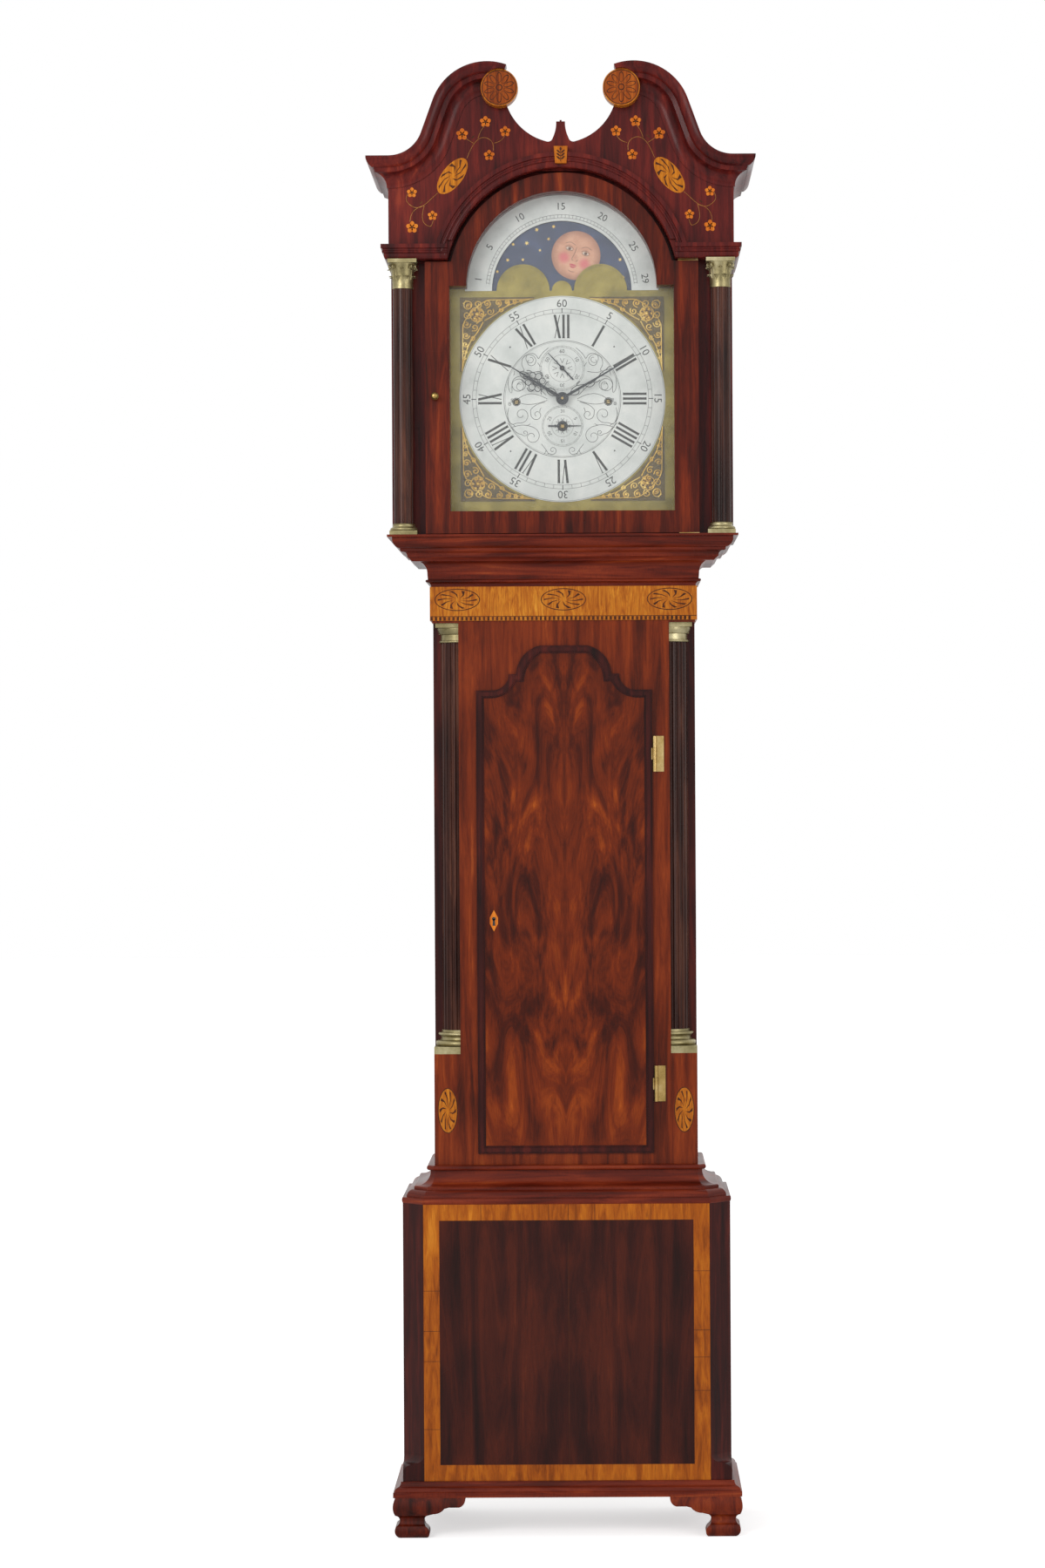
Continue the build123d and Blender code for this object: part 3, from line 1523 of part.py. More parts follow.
# Anchor: pallets over the escape wheel, its arbor, and the crutch that drives the pendulum
crutch_y = 66.0
crutch_z = anchor_z - 92
with BuildPart() as anchor:
    add(rod(0, anchor_z, plate_y, crutch_y + 3, escape_shaft))
    with BuildSketch(front_plane(46)):
        with BuildLine():
            Polyline(
                (-3, anchor_z + 3),
                (3, anchor_z + 3),
                (17, anchor_z - 15),
                (17.5, anchor_z - 19),
                (15.2, anchor_z - 19.6),
                (2.5, anchor_z - 6),
                (-2.5, anchor_z - 6),
                (-15.2, anchor_z - 19.6),
                (-17.5, anchor_z - 19),
                (-17, anchor_z - 15),
                close=True,
            )
        make_face()
    extrude(amount=2)
    with Locations((0, crutch_y, anchor_z + 3)):
        Box(5, 3, anchor_z + 3 - crutch_z, align=(Align.CENTER, Align.MIN, Align.MAX))
    with Locations((0, crutch_y, crutch_z)):
        Box(14, 3, 6, align=(Align.CENTER, Align.MIN, Align.MIN))
    for side in (-1, 1):
        with Locations((side * (rod_radius + fit_gap), crutch_y, crutch_z)):
            Box(3, 20, 6, align=(Align.MIN if side > 0 else Align.MAX, Align.MIN, Align.MIN))
anchor.part.label = "anchor"
export_step(anchor.part, "parts/anchor.step")

# Pendulum: suspension spring, steel rod, lens-shaped bob and rating nut
bob_z = anchor_z - pendulum_length
with BuildPart() as pendulum:
    with Locations((0, pendulum_y, anchor_z - 16)):
        Box(0.8, 12, cock_low + cock_thick + 2 - anchor_z + 16, align=(Align.CENTER, Align.CENTER, Align.MIN))
    with Locations((0, pendulum_y, cock_low + cock_thick + 0.5)):
        Box(12, 14, 6, align=(Align.CENTER, Align.CENTER, Align.MIN))
    with Locations((0, pendulum_y, anchor_z - 15)):
        Cylinder(rod_radius, pendulum_length + bob_radius, align=(Align.CENTER, Align.CENTER, Align.MAX))
    with Locations((0, pendulum_y, bob_z - bob_radius - 2)):
        Cylinder(9, 10, align=(Align.CENTER, Align.CENTER, Align.MAX))
    with BuildSketch(Plane(origin=(0, pendulum_y, bob_z), x_dir=(0, 1, 0), z_dir=(1, 0, 0))):
        with BuildLine():
            outline(
                (-bob_thick / 2, 0),
                [
                    (-bob_thick / 2, 12),
                    ((-bob_thick * 0.36, bob_radius * 0.6), (-2, bob_radius)),
                    (2, bob_radius),
                    ((bob_thick * 0.36, bob_radius * 0.6), (bob_thick / 2, 12)),
                    (bob_thick / 2, 0),
                    (-bob_thick / 2, 0),
                ],
            )
        make_face()
    revolve(axis=Axis((0, 0, bob_z), (0, 1, 0)))
pendulum.part.label = "pendulum"
export_step(pendulum.part, "parts/pendulum.step")

# Weights: each hangs from a pulley in the loop of its line, between the drum and the seat board
strand_x = drum_radius + line_radius
weight_places = (
    -side_winding_x - strand_x - pulley_radius,
    pulley_radius - strand_x,
    side_winding_x + strand_x + pulley_radius,
)
axle_radius = 2.0
cheek = 2.5
for weight_name, x in zip(barrel_names, weight_places):
    with BuildPart() as line:
        for side in (-1, 1):
            with Locations((x + side * pulley_radius, line_y, pulley_rest)):
                Cylinder(line_radius, seat_bottom - pulley_rest, align=(Align.CENTER, Align.CENTER, Align.MIN))
    line.part.label = weight_name + "_line"
    export_step(line.part, "parts/" + weight_name + "_line.step")

    with BuildPart() as pulley:
        add(rod(x, pulley_rest, line_y - pulley_half, line_y + pulley_half, pulley_radius - line_radius - 0.2))
        groove = line_radius + fit_gap
        add(rod(x, pulley_rest, line_y - pulley_half, line_y - groove, pulley_flange))
        add(rod(x, pulley_rest, line_y + groove, line_y + pulley_half, pulley_flange))
        add(rod(x, pulley_rest, line_y - pulley_half, line_y + pulley_half, axle_radius + shaft_gap), mode=Mode.SUBTRACT)
    pulley.part.label = weight_name + "_pulley"
    export_step(pulley.part, "parts/" + weight_name + "_pulley.step")

    with BuildPart() as weight:
        reach = pulley_half + fit_gap
        add(rod(x, pulley_rest, line_y - reach - cheek, line_y + reach + cheek, axle_radius))
        for side in (-1, 1):
            with Locations((x, line_y + side * reach, pulley_rest + 6)):
                Box(12, cheek, 50, align=(Align.CENTER, Align.MIN if side > 0 else Align.MAX, Align.MAX))
        with Locations((x, line_y, pulley_rest - weight_drop + 4)):
            Box(12, 2 * (reach + cheek), 18, align=(Align.CENTER, Align.CENTER, Align.MIN))
        with Locations((x, line_y, pulley_rest - weight_drop - 1)):
            Cylinder(3, 8, align=(Align.CENTER, Align.CENTER, Align.MIN))
        with Locations((x, line_y, pulley_rest - weight_drop)):
            Cylinder(weight_radius, weight_height, align=(Align.CENTER, Align.CENTER, Align.MAX))
    weight.part.label = weight_name + "_weight"
    export_step(weight.part, "parts/" + weight_name + "_weight.step")
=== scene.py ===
# A longcase clock in inlaid mahogany, dressed piece by piece in the order it is put together:
# case, trunk door, movement, dial, hands and hood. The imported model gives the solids, and the
# finishes and fine work such as inlay, engraving and castings are added here.
from math import cos, hypot, pi, radians, sin

import bmesh
import bpy
from mathutils import Matrix, Vector


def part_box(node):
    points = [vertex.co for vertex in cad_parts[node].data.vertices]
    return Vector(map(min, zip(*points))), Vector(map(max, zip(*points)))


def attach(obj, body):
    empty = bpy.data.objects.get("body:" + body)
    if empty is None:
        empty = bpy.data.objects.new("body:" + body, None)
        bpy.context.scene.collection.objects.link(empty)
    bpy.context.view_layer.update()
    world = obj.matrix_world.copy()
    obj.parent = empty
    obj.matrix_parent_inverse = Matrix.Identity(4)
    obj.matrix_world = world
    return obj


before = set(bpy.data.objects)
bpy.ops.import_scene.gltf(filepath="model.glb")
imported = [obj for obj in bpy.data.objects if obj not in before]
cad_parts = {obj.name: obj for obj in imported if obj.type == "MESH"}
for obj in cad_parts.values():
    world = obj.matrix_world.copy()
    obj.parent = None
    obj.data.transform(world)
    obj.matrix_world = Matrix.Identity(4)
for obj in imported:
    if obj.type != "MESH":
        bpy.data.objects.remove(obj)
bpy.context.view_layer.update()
mm = 0.001

# Studio: a white room with a pale floor, two soft boxes and a camera at the photograph's angle.
# The lens looks level from a little right of the clock, so the picture is shifted to the left.
scene = bpy.context.scene
scene.view_settings.view_transform = "Standard"
camera_data = bpy.data.cameras.new("camera")
camera_data.lens = 87
camera_data.sensor_width = 36
camera_data.shift_x = -0.053
camera = bpy.data.objects.new("camera", camera_data)
camera.location = (0.066, -6.12, 1.194)
camera.rotation_euler = (pi / 2, radians(0.3), 0)
scene.collection.objects.link(camera)
scene.camera = camera


def linear(hex_colour, alpha=1.0):
    """Turn an sRGB hex colour to the linear values that a shader takes."""
    channels = [int(hex_colour[i : i + 2], 16) / 255 for i in (1, 3, 5)]
    bent = [c / 12.92 if c <= 0.04045 else ((c + 0.055) / 1.055) ** 2.4 for c in channels]
    return (*bent, alpha)


def add_node(tree, kind, inputs=None, stops=(), **settings):
    """Add a node: an input is a value or an output to link, and stops colour a ramp."""
    made = tree.nodes.new(kind)
    while len(stops) > len(made.color_ramp.elements if stops else ()):
        made.color_ramp.elements.new(0.5)
    for number, (place, colour) in enumerate(stops):
        made.color_ramp.elements[number].position = place
        made.color_ramp.elements[number].color = linear(colour)
    for key, value in settings.items():
        setattr(made, key, value)
    for key, value in (inputs or {}).items():
        if isinstance(value, bpy.types.NodeSocket):
            tree.links.new(value, made.inputs[key])
        else:
            made.inputs[key].default_value = value
    return made


def new_tree(name):
    """Start a material and give it with its shader, ready for links."""
    made = bpy.data.materials.new(name)
    made.use_nodes = True
    return made, made.node_tree, made.node_tree.nodes["Principled BSDF"]


for name, place, aim, size, watts in (
    ("key_softbox", (-2.6, -4.2, 3.0), (0, 0, 1.2), 2.2, 95),
    ("fill_softbox", (3.2, -3.6, 1.8), (0, 0, 1.0), 2.2, 45),
):
    lamp = bpy.data.lights.new(name, "AREA")
    lamp.size = size
    lamp.energy = watts
    holder = bpy.data.objects.new(name, lamp)
    holder.location = place
    holder.rotation_euler = (Vector(aim) - Vector(place)).to_track_quat("-Z", "Y").to_euler()
    scene.collection.objects.link(holder)

world = bpy.data.worlds.new("white_room")
world.use_nodes = True
scene.world = world
room = world.node_tree
# The eye, mirrors and glass see plain white; the light that falls on the clock is about half of it.
room_light = 0.55
light_path = add_node(room, "ShaderNodeLightPath")
seen_plainly = add_node(
    room,
    "ShaderNodeMath",
    {0: light_path.outputs["Is Camera Ray"], 1: light_path.outputs["Is Transmission Ray"]},
    operation="MAXIMUM",
)
seen = add_node(
    room,
    "ShaderNodeMath",
    {0: seen_plainly.outputs[0], 1: light_path.outputs["Is Glossy Ray"]},
    operation="MAXIMUM",
)
room_level = add_node(
    room, "ShaderNodeMapRange", {"Value": seen.outputs[0], "To Min": room_light, "To Max": 1.0}
)
room.nodes["Background"].inputs["Color"].default_value = (1, 1, 1, 1)
room.links.new(room_level.outputs[0], room.nodes["Background"].inputs["Strength"])

floor_matter, floor_tree, floor_shader = new_tree("painted_studio_floor")
floor_shader.inputs["Base Color"].default_value = linear("#FBFBFB")
floor_shader.inputs["Roughness"].default_value = 0.9
floor_path = add_node(floor_tree, "ShaderNodeLightPath")
floor_glow = add_node(
    floor_tree,
    "ShaderNodeMath",
    {0: floor_path.outputs["Is Camera Ray"], 1: room_light},
    operation="MULTIPLY",
)
floor_shader.inputs["Emission Color"].default_value = (1, 1, 1, 1)
floor_tree.links.new(floor_glow.outputs[0], floor_shader.inputs["Emission Strength"])
floor_mesh = bmesh.new()
bmesh.ops.create_grid(floor_mesh, x_segments=4, y_segments=4, size=20)
floor_data = bpy.data.meshes.new("floor")
floor_mesh.to_mesh(floor_data)
floor = bpy.data.objects.new("floor", floor_data)
floor_data.materials.append(floor_matter)
scene.collection.objects.link(floor)

# Feet, carcase and rails: planed and moulded mahogany, glued together. French polish gives a
# thin clear gloss over streaks a few millimetres wide and tens of centimetres long.


def wood(name, stops, across=70.0, along=5.0, warp=0.6, rough=0.3, coat=0.08, mirror_x=0.0):
    """Make a polished wood: streaky grain, fine pores and small uneven wear in the polish."""
    made, tree, shader = new_tree(name)
    spot = add_node(tree, "ShaderNodeTexCoord").outputs["Object"]
    if mirror_x:
        apart = add_node(tree, "ShaderNodeSeparateXYZ", {0: spot})
        side = add_node(tree, "ShaderNodeMath", {0: apart.outputs["X"]}, operation="ABSOLUTE")
        lean = add_node(
            tree,
            "ShaderNodeMath",
            {0: side.outputs[0], 1: -mirror_x, 2: apart.outputs["Z"]},
            operation="MULTIPLY_ADD",
        )
        spot = add_node(
            tree,
            "ShaderNodeCombineXYZ",
            {"X": side.outputs[0], "Y": apart.outputs["Y"], "Z": lean.outputs[0]},
        ).outputs[0]
    grain_place = add_node(
        tree,
        "ShaderNodeMapping",
        {"Vector": spot, "Scale": (across, across, along)},
    )
    grain = add_node(
        tree,
        "ShaderNodeTexNoise",
        {
            "Vector": grain_place.outputs[0], "Scale": 1.0, "Detail": 8, "Roughness": 0.62,
            "Distortion": warp,
        },
    )
    cloud = add_node(
        tree, "ShaderNodeTexNoise", {"Vector": spot, "Scale": 5.5, "Detail": 3, "Roughness": 0.5}
    )
    blend = add_node(
        tree,
        "ShaderNodeMath",
        {0: cloud.outputs[0], 1: 0.45, 2: grain.outputs[0]},
        operation="MULTIPLY_ADD",
    )
    level = add_node(
        tree, "ShaderNodeMapRange", {"Value": blend.outputs[0], "From Min": 0.5, "From Max": 0.98},
    )
    colour = add_node(tree, "ShaderNodeValToRGB", {"Fac": level.outputs[0]}, stops).outputs["Color"]
    pore_place = add_node(tree, "ShaderNodeMapping", {"Vector": spot, "Scale": (900, 900, 60)})
    pore = add_node(
        tree, "ShaderNodeTexNoise", {"Vector": pore_place.outputs[0], "Scale": 1.0, "Detail": 2},
    )
    pore_dark = add_node(
        tree, "ShaderNodeMapRange",
        {"Value": pore.outputs[0], "From Min": 0.28, "From Max": 0.5, "To Min": 0.72},
    )
    mixed = add_node(
        tree,
        "ShaderNodeMix",
        {"Factor": 1.0, "A": colour, "B": pore_dark.outputs[0]},
        data_type="RGBA",
        blend_type="MULTIPLY",
    )
    tree.links.new(mixed.outputs["Result"], shader.inputs["Base Color"])
    wear = add_node(
        tree,
        "ShaderNodeMapRange",
        {
            "Value": cloud.outputs[0], "From Min": 0.3, "From Max": 0.7, "To Min": rough - 0.06,
            "To Max": rough + 0.1,
        },
    )
    tree.links.new(wear.outputs[0], shader.inputs["Roughness"])
    relief = add_node(
        tree, "ShaderNodeBump", {"Height": pore.outputs[0], "Strength": 0.06, "Distance": 0.0003},
    )
    tree.links.new(relief.outputs[0], shader.inputs["Normal"])
    shader.inputs["Specular IOR Level"].default_value = 0.14
    shader.inputs["Coat Weight"].default_value = coat
    shader.inputs["Coat Roughness"].default_value = 0.16
    return made


def finish_nodes(matter, *names):
    """Give the built pieces their finish."""
    for name in names:
        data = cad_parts[name].data
        data.materials.clear()
        data.materials.append(matter)


# Red polish over plain, straight-grained boards, upright in the case.
mahogany = wood(
    "french_polished_mahogany", [(0, "#280A04"), (0.4, "#54180A"), (0.75, "#782A10"), (1, "#944018")],
)
# The same wood run lengthways across the clock, so its streaks lie level.
level_wood = wood(
    "rail_mahogany", [(0, "#300D06"), (0.4, "#5E1B0C"), (0.75, "#7C2C14"), (1, "#98441E")],
    across=6, along=90,
)
finish_nodes(mahogany, "bracket_feet", "base_carcase")
finish_nodes(level_wood, "foot_rail", "waist_rail")

# Base: a front panel 15 mm thick, faced with two matched veneers, between canted corners darkened with
# painted shade.
# The halves are opened like a book, so the slanting dark waves mirror about the middle joint.
# The panel is a little glossier than the carcase round it.
panel_wood = wood(
    "book_matched_veneer", [(0, "#180604"), (0.4, "#34100A"), (0.75, "#4E1C0E"), (1, "#6E2E14")],
    across=22, along=2.2, warp=1.2, rough=0.26, mirror_x=-0.5,
)
# Side boards and corners: much darker than the front, with little figure. On them the darkness
# is painted shade; on the trunk door's edging, which takes the same wood, it is its own colour.
dark_and_shaded_wood = wood("dark_and_shaded_mahogany", [(0, "#1C0706"), (0.5, "#3A100C"), (1, "#5C1D14")])
finish_nodes(panel_wood, "base_front_panel")
finish_nodes(dark_and_shaded_wood, "base_corners")

# Base banding: satinwood cross-banding let into the front panel, mitred, with a line at the middle.
# It stands 0.3 mm proud so that its edge catches the light, as old inlay does.


def plate(shape, outline, y, thick):
    """Lay a flat outline of (x, z) at depth y and raise it forwards; sizes are in millimetres."""
    corners = [shape.verts.new((x * mm, y * mm, z * mm)) for x, z in outline]
    face = shape.faces.new(corners)
    raised = bmesh.ops.extrude_face_region(shape, geom=[face])
    moved = [item for item in raised["geom"] if isinstance(item, bmesh.types.BMVert)]
    bmesh.ops.translate(shape, verts=moved, vec=(0, -thick * mm, 0))


def piece(shape, name, matter, body, smooth=False):
    """Close a mesh into a named piece that rides on a body."""
    bmesh.ops.recalc_face_normals(shape, faces=shape.faces)
    for face in shape.faces:
        face.smooth = smooth
    data = bpy.data.meshes.new(name)
    shape.to_mesh(data)
    shape.free()
    data.materials.append(matter)
    made = bpy.data.objects.new(name, data)
    scene.collection.objects.link(made)
    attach(made, body)
    return made


def bar(x0, z0, x1, z1, wide0, wide1=None):
    """Give a straight stroke from one point to another, as an outline with its two widths."""
    wide1 = wide0 if wide1 is None else wide1
    length = hypot(x1 - x0, z1 - z0)
    nx, nz = -(z1 - z0) / length / 2, (x1 - x0) / length / 2
    return [
        (x0 + nx * wide0, z0 + nz * wide0),
        (x0 - nx * wide0, z0 - nz * wide0),
        (x1 - nx * wide1, z1 - nz * wide1),
        (x1 + nx * wide1, z1 + nz * wide1),
    ]


# Satinwood cut across its grain: warm orange with short, close lines.
banding_wood = wood(
    "cross_banding", [(0, "#703206"), (0.4, "#A0500C"), (0.75, "#B86612"), (1, "#CA7A1E")],
    across=90, along=14,
)
# Light wood dyed dark: flat brown with little grain.
inlay_dark = wood("stained_inlay", [(0, "#2A1208"), (0.5, "#4C2410"), (1, "#6E3A1A")], across=120)
panel_low, panel_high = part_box("base_front_panel")
face_y = panel_low[1] / mm
# The band is an inch wide and its frame stops 1 mm short of each side of the panel.
band, half = 25.4, 227.5
low, high = panel_low[2] / mm, panel_high[2] / mm
banding = bmesh.new()
plate(
    banding, [(-half, low), (half, low), (half - band, low + band), (band - half, low + band)], face_y,
    0.3,
)
plate(
    banding, [(-half, high), (half, high), (half - band, high - band), (band - half, high - band)],
    face_y, 0.3,
)
for side in (-1, 1):
    edge = [
        (side * half, low), (side * half, high), (side * (half - band), high - band),
        (side * (half - band), low + band),
    ]
    plate(banding, edge, face_y, 0.3)
piece(banding, "base_banding", banding_wood, "case")
joints = [bar(x, high - band, x, high, 0.7) for x in (-136, -28, 3, 45, 134)]
joints += [bar(-half, z, band - half, z, 0.7) for z in (390, 326, 278, 170)]
joints += [bar(half - band, z, half, z, 0.7) for z in (420, 326, 283, 230)]
joints += [bar(3, low + band, 3, high - band, 0.6)]
lines_shape = bmesh.new()
for outline in joints:
    plate(lines_shape, outline, face_y - 0.3, 0.1)
piece(lines_shape, "base_joint_lines", inlay_dark, "case")

# Trunk: a straight-grained front frame and plinth blocks, sides painted dark as shade, and an oak
# back that is sawn and left unpolished, with two fluted quarter columns of dark mahogany in the
# corners.
# The front boards are a brighter red-brown than the base, with straight streaks.
trunk_wood = wood(
    "trunk_mahogany", [(0, "#3A1004"), (0.4, "#662208"), (0.75, "#82320E"), (1, "#A04C1A")],
)
# Turned and fluted: browner and a little shinier than the boards.
column_wood = wood("column_mahogany", [(0, "#1C0D0A"), (0.5, "#40221A"), (1, "#6C4232")], rough=0.28)
# Sawn oak without polish: pale brown and dull.
oak = wood("carcase_oak", [(0, "#4A3520"), (0.5, "#6D5233"), (1, "#8C6E48")], rough=0.7, coat=0.0)
finish_nodes(trunk_wood, "trunk_front_frame", "trunk_corner_blocks")
# The sides take the dark wood as painted shade.
finish_nodes(dark_and_shaded_wood, "trunk_sides")
finish_nodes(column_wood, "trunk_columns")
finish_nodes(oak, "backboard")

# Trunk inlays: three oval fans and a chequer string on the satinwood frieze, one oval on each plinth.
# Satinwood and dark-stained wood, let in flush on the real clock and up to 0.6 mm proud here.


def oval(cx, cz, a, b, tilt=0.0, count=28):
    """Give an oval outline; tilt turns it, in degrees."""
    t = radians(tilt)
    spots = [(a * cos(2 * pi * i / count), b * sin(2 * pi * i / count)) for i in range(count)]
    return [(cx + x * cos(t) - z * sin(t), cz + x * sin(t) + z * cos(t)) for x, z in spots]


def patera(light, dark, cx, cz, a, b, tilt, blades, y, twist=0.6):
    """Inlay an oval fan: a pale oval and curved blades shaded alternately."""
    plate(light, oval(cx, cz, a, b, tilt), y, 0.25)
    t = radians(tilt)
    for blade in range(blades):
        start = 2 * pi * blade / blades
        points = []
        for share, offset in ((0.14, 0), (0.55, 0.20), (0.9, 0.34), (0.9, 0.62), (0.55, 0.42)):
            angle = start + (offset + twist * share) * 2 * pi / blades
            x, z = a * share * cos(angle), b * share * sin(angle)
            points.append((cx + x * cos(t) - z * sin(t), cz + x * sin(t) + z * cos(t)))
        plate(dark, points, y - 0.25, 0.15)


# Polished veneer with ripples across the grain: golden orange.
satinwood = wood(
    "rippled_satinwood", [(0, "#86400A"), (0.4, "#AE6014"), (0.75, "#C87C20"), (1, "#DA9432")],
    across=160, along=22, warp=1.4, rough=0.32,
)
finish_nodes(satinwood, "trunk_frieze")
frieze_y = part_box("trunk_frieze")[0][1] / mm
block_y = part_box("trunk_corner_blocks")[0][1] / mm
light = bmesh.new()
dark = bmesh.new()
for x in (-170, 0, 170):
    plate(dark, oval(x, 1490, 36.5, 17.8), frieze_y, 0.2)
    patera(light, dark, x, 1490, 35, 16.4, 0, 10, frieze_y - 0.2)
for x in (-189.5, 189.5):
    plate(dark, oval(x, 672, 16.2, 36.5), block_y, 0.2)
    patera(light, dark, x, 672, 14.8, 35, 0, 10, block_y - 0.2)
string_half = 213
chequer = 7.0
for index in range(int(2 * string_half / chequer)):
    x = index * chequer - string_half
    plate(
        dark, [(x, 1457), (x + chequer / 2, 1457), (x + chequer / 2, 1462.5), (x, 1462.5)], frieze_y,
        0.3,
    )
plate(dark, bar(-string_half, 1463.3, string_half, 1463.3, 0.9), frieze_y, 0.3)
piece(light, "trunk_inlay_light", satinwood, "case")
piece(dark, "trunk_inlay_dark", inlay_dark, "case")

# Trunk capitals: turned sleeves and two rows of cast leaves under the square cap. Only the
# quarter of each ring that stands clear of the case is leaved. The fine scratches of a metal are
# drawn 2.5 mm coarse, as finer ones would not show.


def metal(name, stops, rough, grit=400.0, polish=1.0):
    """Make a metal with uneven tone and fine scratches of a stated grit to the metre."""
    made, tree, shader = new_tree(name)
    spot = add_node(tree, "ShaderNodeTexCoord").outputs["Object"]
    cloud = add_node(
        tree, "ShaderNodeTexNoise", {"Vector": spot, "Scale": 22.0, "Detail": 6, "Roughness": 0.65},
    )
    tone = add_node(tree, "ShaderNodeValToRGB", {"Fac": cloud.outputs[0]}, stops)
    tree.links.new(tone.outputs["Color"], shader.inputs["Base Color"])
    grain = add_node(tree, "ShaderNodeTexNoise", {"Vector": spot, "Scale": grit, "Detail": 3})
    worn = add_node(
        tree,
        "ShaderNodeMapRange",
        {
            "Value": grain.outputs[0], "From Min": 0.3, "From Max": 0.7, "To Min": rough - 0.07,
            "To Max": rough + 0.1,
        },
    )
    tree.links.new(worn.outputs[0], shader.inputs["Roughness"])
    relief = add_node(
        tree, "ShaderNodeBump", {"Height": grain.outputs[0], "Strength": 0.05, "Distance": 0.0002},
    )
    tree.links.new(relief.outputs[0], shader.inputs["Normal"])
    shader.inputs["Metallic"].default_value = polish
    return made


def acanthus(shape, axis, angle, low, height, root, out, half):
    """Stand a cast leaf against a column: it leans out and its lobed tip curls forwards."""
    rows, columns = 9, 5
    away = (cos(radians(angle)), sin(radians(angle)))
    along = (-away[1], away[0])
    grid = []
    for i in range(rows):
        t = i / (rows - 1)
        rise = low + height * sin(min(1.0, t * 1.12) * pi / 2) - max(0, t - 0.85) * height * 0.5
        reach = root + out * t**2.4
        width = half * (0.7 + 0.3 * sin(pi * t)) * (1 - max(0, t - 0.7) * 2.2) * (
            1 - 0.25 * abs(sin(4 * pi * t))
        )
        row = []
        for j in range(columns):
            u = j / 2 - 1
            radius = reach - 0.3 * half * u * u + (0.7 if j == 2 else 0)
            x = axis[0] + away[0] * radius + along[0] * u * width
            y = axis[1] + away[1] * radius + along[1] * u * width
            row.append(shape.verts.new((x * mm, y * mm, rise * mm)))
        grid.append(row)
    for lower, upper in zip(grid, grid[1:]):
        for j in range(columns - 1):
            shape.faces.new((lower[j], lower[j + 1], upper[j + 1], upper[j]))


def thicken(made, thick):
    """Give cast leaves their thickness."""
    shell = made.modifiers.new("thickness", "SOLIDIFY")
    shell.thickness = thick * mm
    shell.offset = 0
    return made


# Cast brass with tarnish in its hollows: pale, greenish and uneven.
aged_brass = metal(
    "old_capital_brass", [(0.3, "#6E6544"), (0.5, "#978C66"), (0.7, "#C2B892")], 0.36, polish=0.9,
)
capital_leaves = bmesh.new()
for side in (-1, 1):
    axis = (side * 168.8, -8)
    for step in range(4):
        angle = -90 + side * (11 + step * 22.5)
        acanthus(capital_leaves, axis, angle, 1424, 13, 27.5, 5.5, 5.4)
        acanthus(capital_leaves, axis, angle + side * 2, 1431, 14, 28.0, 7.0, 4.4)
thicken(piece(capital_leaves, "trunk_capital_leaves", aged_brass, "case", True), 0.9)
finish_nodes(aged_brass, "trunk_column_brasses")

# Trunk door: flame veneer cut from a crotch, opened like a book, inside a dark moulded edging.
# It hangs on brass hinges and its lock is behind a pointed inlaid oval with a keyhole.
# Crotch veneer: orange flames that rise on both sides of the middle joint.
flame_wood = wood(
    "flame_veneer",
    [(0, "#220703"), (0.3, "#441305"), (0.6, "#702708"), (0.85, "#96400E"), (1, "#BA5E1A")],
    across=19, along=5, warp=1.7, rough=0.26, mirror_x=1.6,
)
# Dyed light wood: bright orange, almost without grain.
inlay_red = wood("orange_inlay", [(0, "#A84E10"), (0.5, "#CE6C1A"), (1, "#E48A2C")], across=120)
# Lathe-turned brass: a warm, fairly even shine.
turned_brass = metal(
    "turned_brass", [(0.3, "#8A7038"), (0.5, "#B0935A"), (0.7, "#CDB682")], 0.32, polish=0.9,
)
# Black wax rubbed into the engraved cuts: dull.
wax = metal(
    "black_engraving_wax", [(0.3, "#121212"), (0.5, "#1C1B1A"), (0.7, "#2A2826")], 0.6, polish=0.0,
)
# Polished steel, coloured by heat: blue-black.
blued_steel = metal(
    "blued_steel", [(0.3, "#1A1B20"), (0.5, "#26282F"), (0.7, "#3A3C44")], 0.3, polish=0.8,
)
finish_nodes(flame_wood, "trunk_door")
finish_nodes(dark_and_shaded_wood, "trunk_door_edging")
finish_nodes(turned_brass, "trunk_door_brasses", "trunk_case_hinges")
finish_nodes(blued_steel, "lock_bolt")
door_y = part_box("trunk_door")[0][1] / mm
shield = bmesh.new()
plate(
    shield, [(-114, 993), (-107.5, 981), (-107.5, 971), (-114, 959), (-120.5, 971), (-120.5, 981)],
    door_y, 0.3,
)
piece(shield, "escutcheon", inlay_red, "trunk_door_leaf")
hole = bmesh.new()
plate(hole, oval(-114, 979, 3, 3), door_y - 0.3, 0.2)
plate(hole, [(-115.4, 979), (-112.6, 979), (-111.8, 968), (-116.2, 968)], door_y - 0.3, 0.2)
piece(hole, "keyhole_mark", wax, "trunk_door_leaf")

# Movement: brass plates and wheels on an oak seat board, a steel anchor and a brass pendulum.
# Three painted iron weights hang by pulleys from twisted gut lines.
# Iron under black paint: dull, with a little metal showing.
iron = metal("painted_iron", [(0.3, "#1E1C1A"), (0.5, "#2C2926"), (0.7, "#3C3833")], 0.5, polish=0.3)
# Twisted gut: waxy yellow-brown.
gut = metal("twisted_gut", [(0.3, "#9C7C48"), (0.5, "#B8965E"), (0.7, "#CBAE7A")], 0.55, polish=0.0)
finish_nodes(level_wood, "trunk_top_rail")
finish_nodes(oak, "seat_board")
finish_nodes(turned_brass, "movement_frame", "centre_arbor", "escape_arbor", "pendulum")
finish_nodes(blued_steel, "anchor")
for train in ("strike", "going", "chime"):
    finish_nodes(turned_brass, train + "_barrel", train + "_pulley")
    finish_nodes(iron, train + "_weight")
    finish_nodes(gut, train + "_line")

# Chapter disc: black-waxed hour and minute figures, a minute ring and two small dials.
# All heads point outwards, and the wax of the strokes stands 0.12 mm proud.


